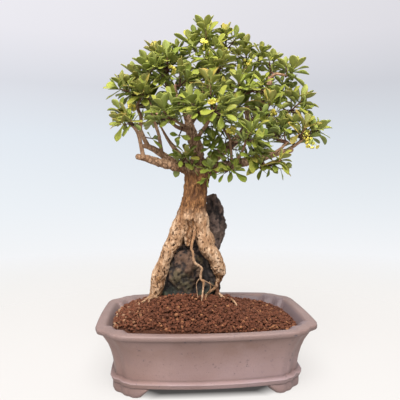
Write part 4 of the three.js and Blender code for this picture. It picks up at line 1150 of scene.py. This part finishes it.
def build_crown(leaf_material, bark_material):
    """The sprays, the small tufts, and the twigs and thin branches that carry them."""
    twigs = Skin()
    seats = branch_seats()
    for index, crown in enumerate(np.array(SPRAYS, float)):
        build_spray(index, crown, seats, twigs, leaf_material)
    build_fillers(seats, twigs, leaf_material)
    for points, radii, _ in BRANCHES:
        if radii[0] <= THICK_BRANCH:
            # The third mark lightens thin branches with young bark, partly painted light
            marks = (0.72, 0.5, 0.55)
            tube(twigs, points, radii, sides=10, step=2, wobble=0.18, marks=marks, round_end=True)
    twigs.piece("twigs", bark_material, "bark", "tree")


def build_thin_roots(look):
    roots = Skin()
    for points, radii in THIN_ROOTS + ROOTLETS:
        tube(roots, points, radii, sides=10, step=0.9, wobble=0.36, marks=(0.2, 0.46, 0), round_end=True)
    roots.piece("thin_roots", look, "bark", "tree")


def build_flowers(look):
    """Small yellow flowers and buds on thin stalks round each raceme of the CAD model."""
    for index in range(1, BLOOM_COUNT + 1):
        low, high = (in_millimetres(corner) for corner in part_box(f"raceme_{index}"))
        middle, half = (low + high) / 2, (high - low) / 2
        random = seeded(FLOWER_SEED + index)
        skin = Skin()
        top = middle + UP * half[2] * 0.9
        for _ in range(BLOOM_SIZE):
            off = np.array([random() - 0.5, random() - 0.5, random() - 0.62]) * 1.7 * half
            at = middle + off
            stalk = [top, (top + at) / 2 + UP * 0.5, at]
            tube(skin, stalk, [0.3, 0.25, 0.25], sides=5, step=2.5, marks=(0.1, 0, 0))
            if random() < 0.55:
                flower(skin, at, unit(off + UP * 0.15 + np.array([0, -0.8, 0])), 2.1 + 0.5 * random(), random)
            else:
                bud(skin, at, 1.1 + 0.5 * random(), 0.35 + 0.4 * random())
        skin.piece(f"flowers_{index}", look, "flower_yellow", f"raceme_{index}")


def flower(skin, at, way, size, random):
    """Six cupped petals round a small middle."""
    side, other = square_to(way)
    start, opened = random() * 2 * math.pi, 0.7 + 0.5 * random()
    for k in range(6):
        out = around(side, other, start + k * math.pi / 3)
        across = np.cross(way, out)
        points = []
        for level in (0, -0.16):
            for share, half in PETAL_ROWS:
                rise = share * math.cos(opened) + 0.25 * share * share
                for edge in PETAL_COLUMNS:
                    spread = out * share * math.sin(opened) + across * edge * half
                    spread = spread + way * (rise + 0.12 * abs(edge))
                    points.append(at + spread * size + way * level)
        skin.add(points, PETAL_FACES, (0.72 + 0.25 * random(), 0, 0))
    bud(skin, at + way * size * 0.25, size * 0.3, 0.55)


def bud(skin, at, radius, tone):
    """A round bud with its sepals' edges as faint ribs."""

    def place(point, turn):
        return at + point * (radius * (1 + 0.1 * math.cos(turn * 5)))

    ball(skin, 6, 10, place, (tone, 0, 0))


def build_floor():
    """A round white floor that fades out far away, and glows less below the pot, which paints a shadow there.
    """
    disc = Skin()
    turns = np.linspace(0, 2 * math.pi, FLOOR_SIDES + 1)[:-1]
    rim = [np.array([math.cos(turn), math.sin(turn), 0]) * FLOOR_RADIUS for turn in turns]
    disc.add([np.zeros(3), *rim], [(0, i + 1, (i + 1) % FLOOR_SIDES + 1) for i in range(FLOOR_SIDES)])
    ground = disc.as_object("floor")
    bpy.context.scene.collection.objects.link(ground)
    look = Look("floor_white", 0.9, 0.1)
    body = look.mix(look.noise(3, 2), (0.1, 0.097, 0.094), (0.106, 0.103, 0.1))
    look.feed(look.shader.inputs["Base Color"], body)
    look.shader.inputs["Emission Color"].default_value = (1.0, 0.965, 0.935, 1)
    across, along = (
        look.times(look.math("ABSOLUTE", look.math("SUBTRACT", place, middle)), 1000 / half)
        for place, middle, half in zip(look.axes(look.where), ORIGIN, SHADE_SIZE)
    )
    corner = look.times(look.math("ADD", across, along), SHADE_CORNER)
    # Weaker glow below the pot: a painted shadow
    glow = look.ramp(look.highest(corner, across, along), (0.8, 0.06), (1.0, 0.69))
    look.feed(look.shader.inputs["Emission Strength"], glow)
    away = look.node("ShaderNodeVectorMath", "LENGTH", Vector=look.where).outputs["Value"]
    fade = look.ramp(look.times(away, 1000 / FLOOR_RADIUS), (0.05, 1.0), (0.2, 0.0))
    look.feed(look.shader.inputs["Alpha"], fade)
    ground.data.materials.append(look.material)


def build_sky():
    """A pale studio sky, a little darker towards the right."""
    world = bpy.data.worlds.new("studio")
    bpy.context.scene.world = world
    world.use_nodes = True
    sky = Nodes(world.node_tree)
    x, _, z = sky.axes(sky.node("ShaderNodeTexCoord").outputs["Generated"])
    colour = sky.ramp(sky.math("MULTIPLY_ADD", z, 0.5, 0.5), *SKY)
    above = sky.math("MULTIPLY_ADD", z, 3, 0.4, clamp=True)
    slope = sky.math("MULTIPLY_ADD", sky.math("MULTIPLY_ADD", above, x, 0), -SKY_SLOPE, 1)
    tint = sky.node("ShaderNodeVectorMath", "SCALE", Vector=colour, Scale=slope)
    background = world.node_tree.nodes["Background"]
    sky.feed(background.inputs["Color"], tint.outputs["Vector"])
    background.inputs["Strength"].default_value = 1.0
    bpy.context.scene.view_settings.view_transform = "Standard"


def aim(made, at, ahead):
    """Puts a lamp or camera at a place, looking ahead."""
    made.location = in_metres(at)
    made.rotation_euler = Vector(ahead).to_track_quat("-Z", "Y").to_euler()
    bpy.context.scene.collection.objects.link(made)


def build_lamps():
    for name, at, size, power in LAMPS:
        lamp = bpy.data.lights.new(name, "AREA")
        lamp.size, lamp.energy = size / 1000, power
        aim(bpy.data.objects.new(name, lamp), at, in_metres(LAMP_AIM) - in_metres(at))


def build_camera():
    camera = bpy.data.objects.new("camera", bpy.data.cameras.new("camera"))
    camera.data.lens, camera.data.sensor_width, camera.data.clip_end = LENS, SENSOR, 100
    level = math.cos(PITCH)
    aim(camera, EYE, (math.sin(YAW) * level, math.cos(YAW) * level, math.sin(PITCH)))
    bpy.context.scene.camera = camera


clay, bark, leafy = clay_look(), bark_look(), leaf_look()
build_camera()
build_floor()
build_sky()
build_lamps()
build_pot(clay)
build_feet(clay)
soil = soil_look()
build_soil_bed(soil)
build_granules(soil)
build_stone(stone_look())
build_trunk(bark)
build_crown(leafy, bark)
build_thin_roots(bark)
build_flowers(petal_look())
screen = plastic_look()
for node in ("drain_screen_left", "drain_screen_right"):
    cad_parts[node].data.materials.clear()
    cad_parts[node].data.materials.append(screen)
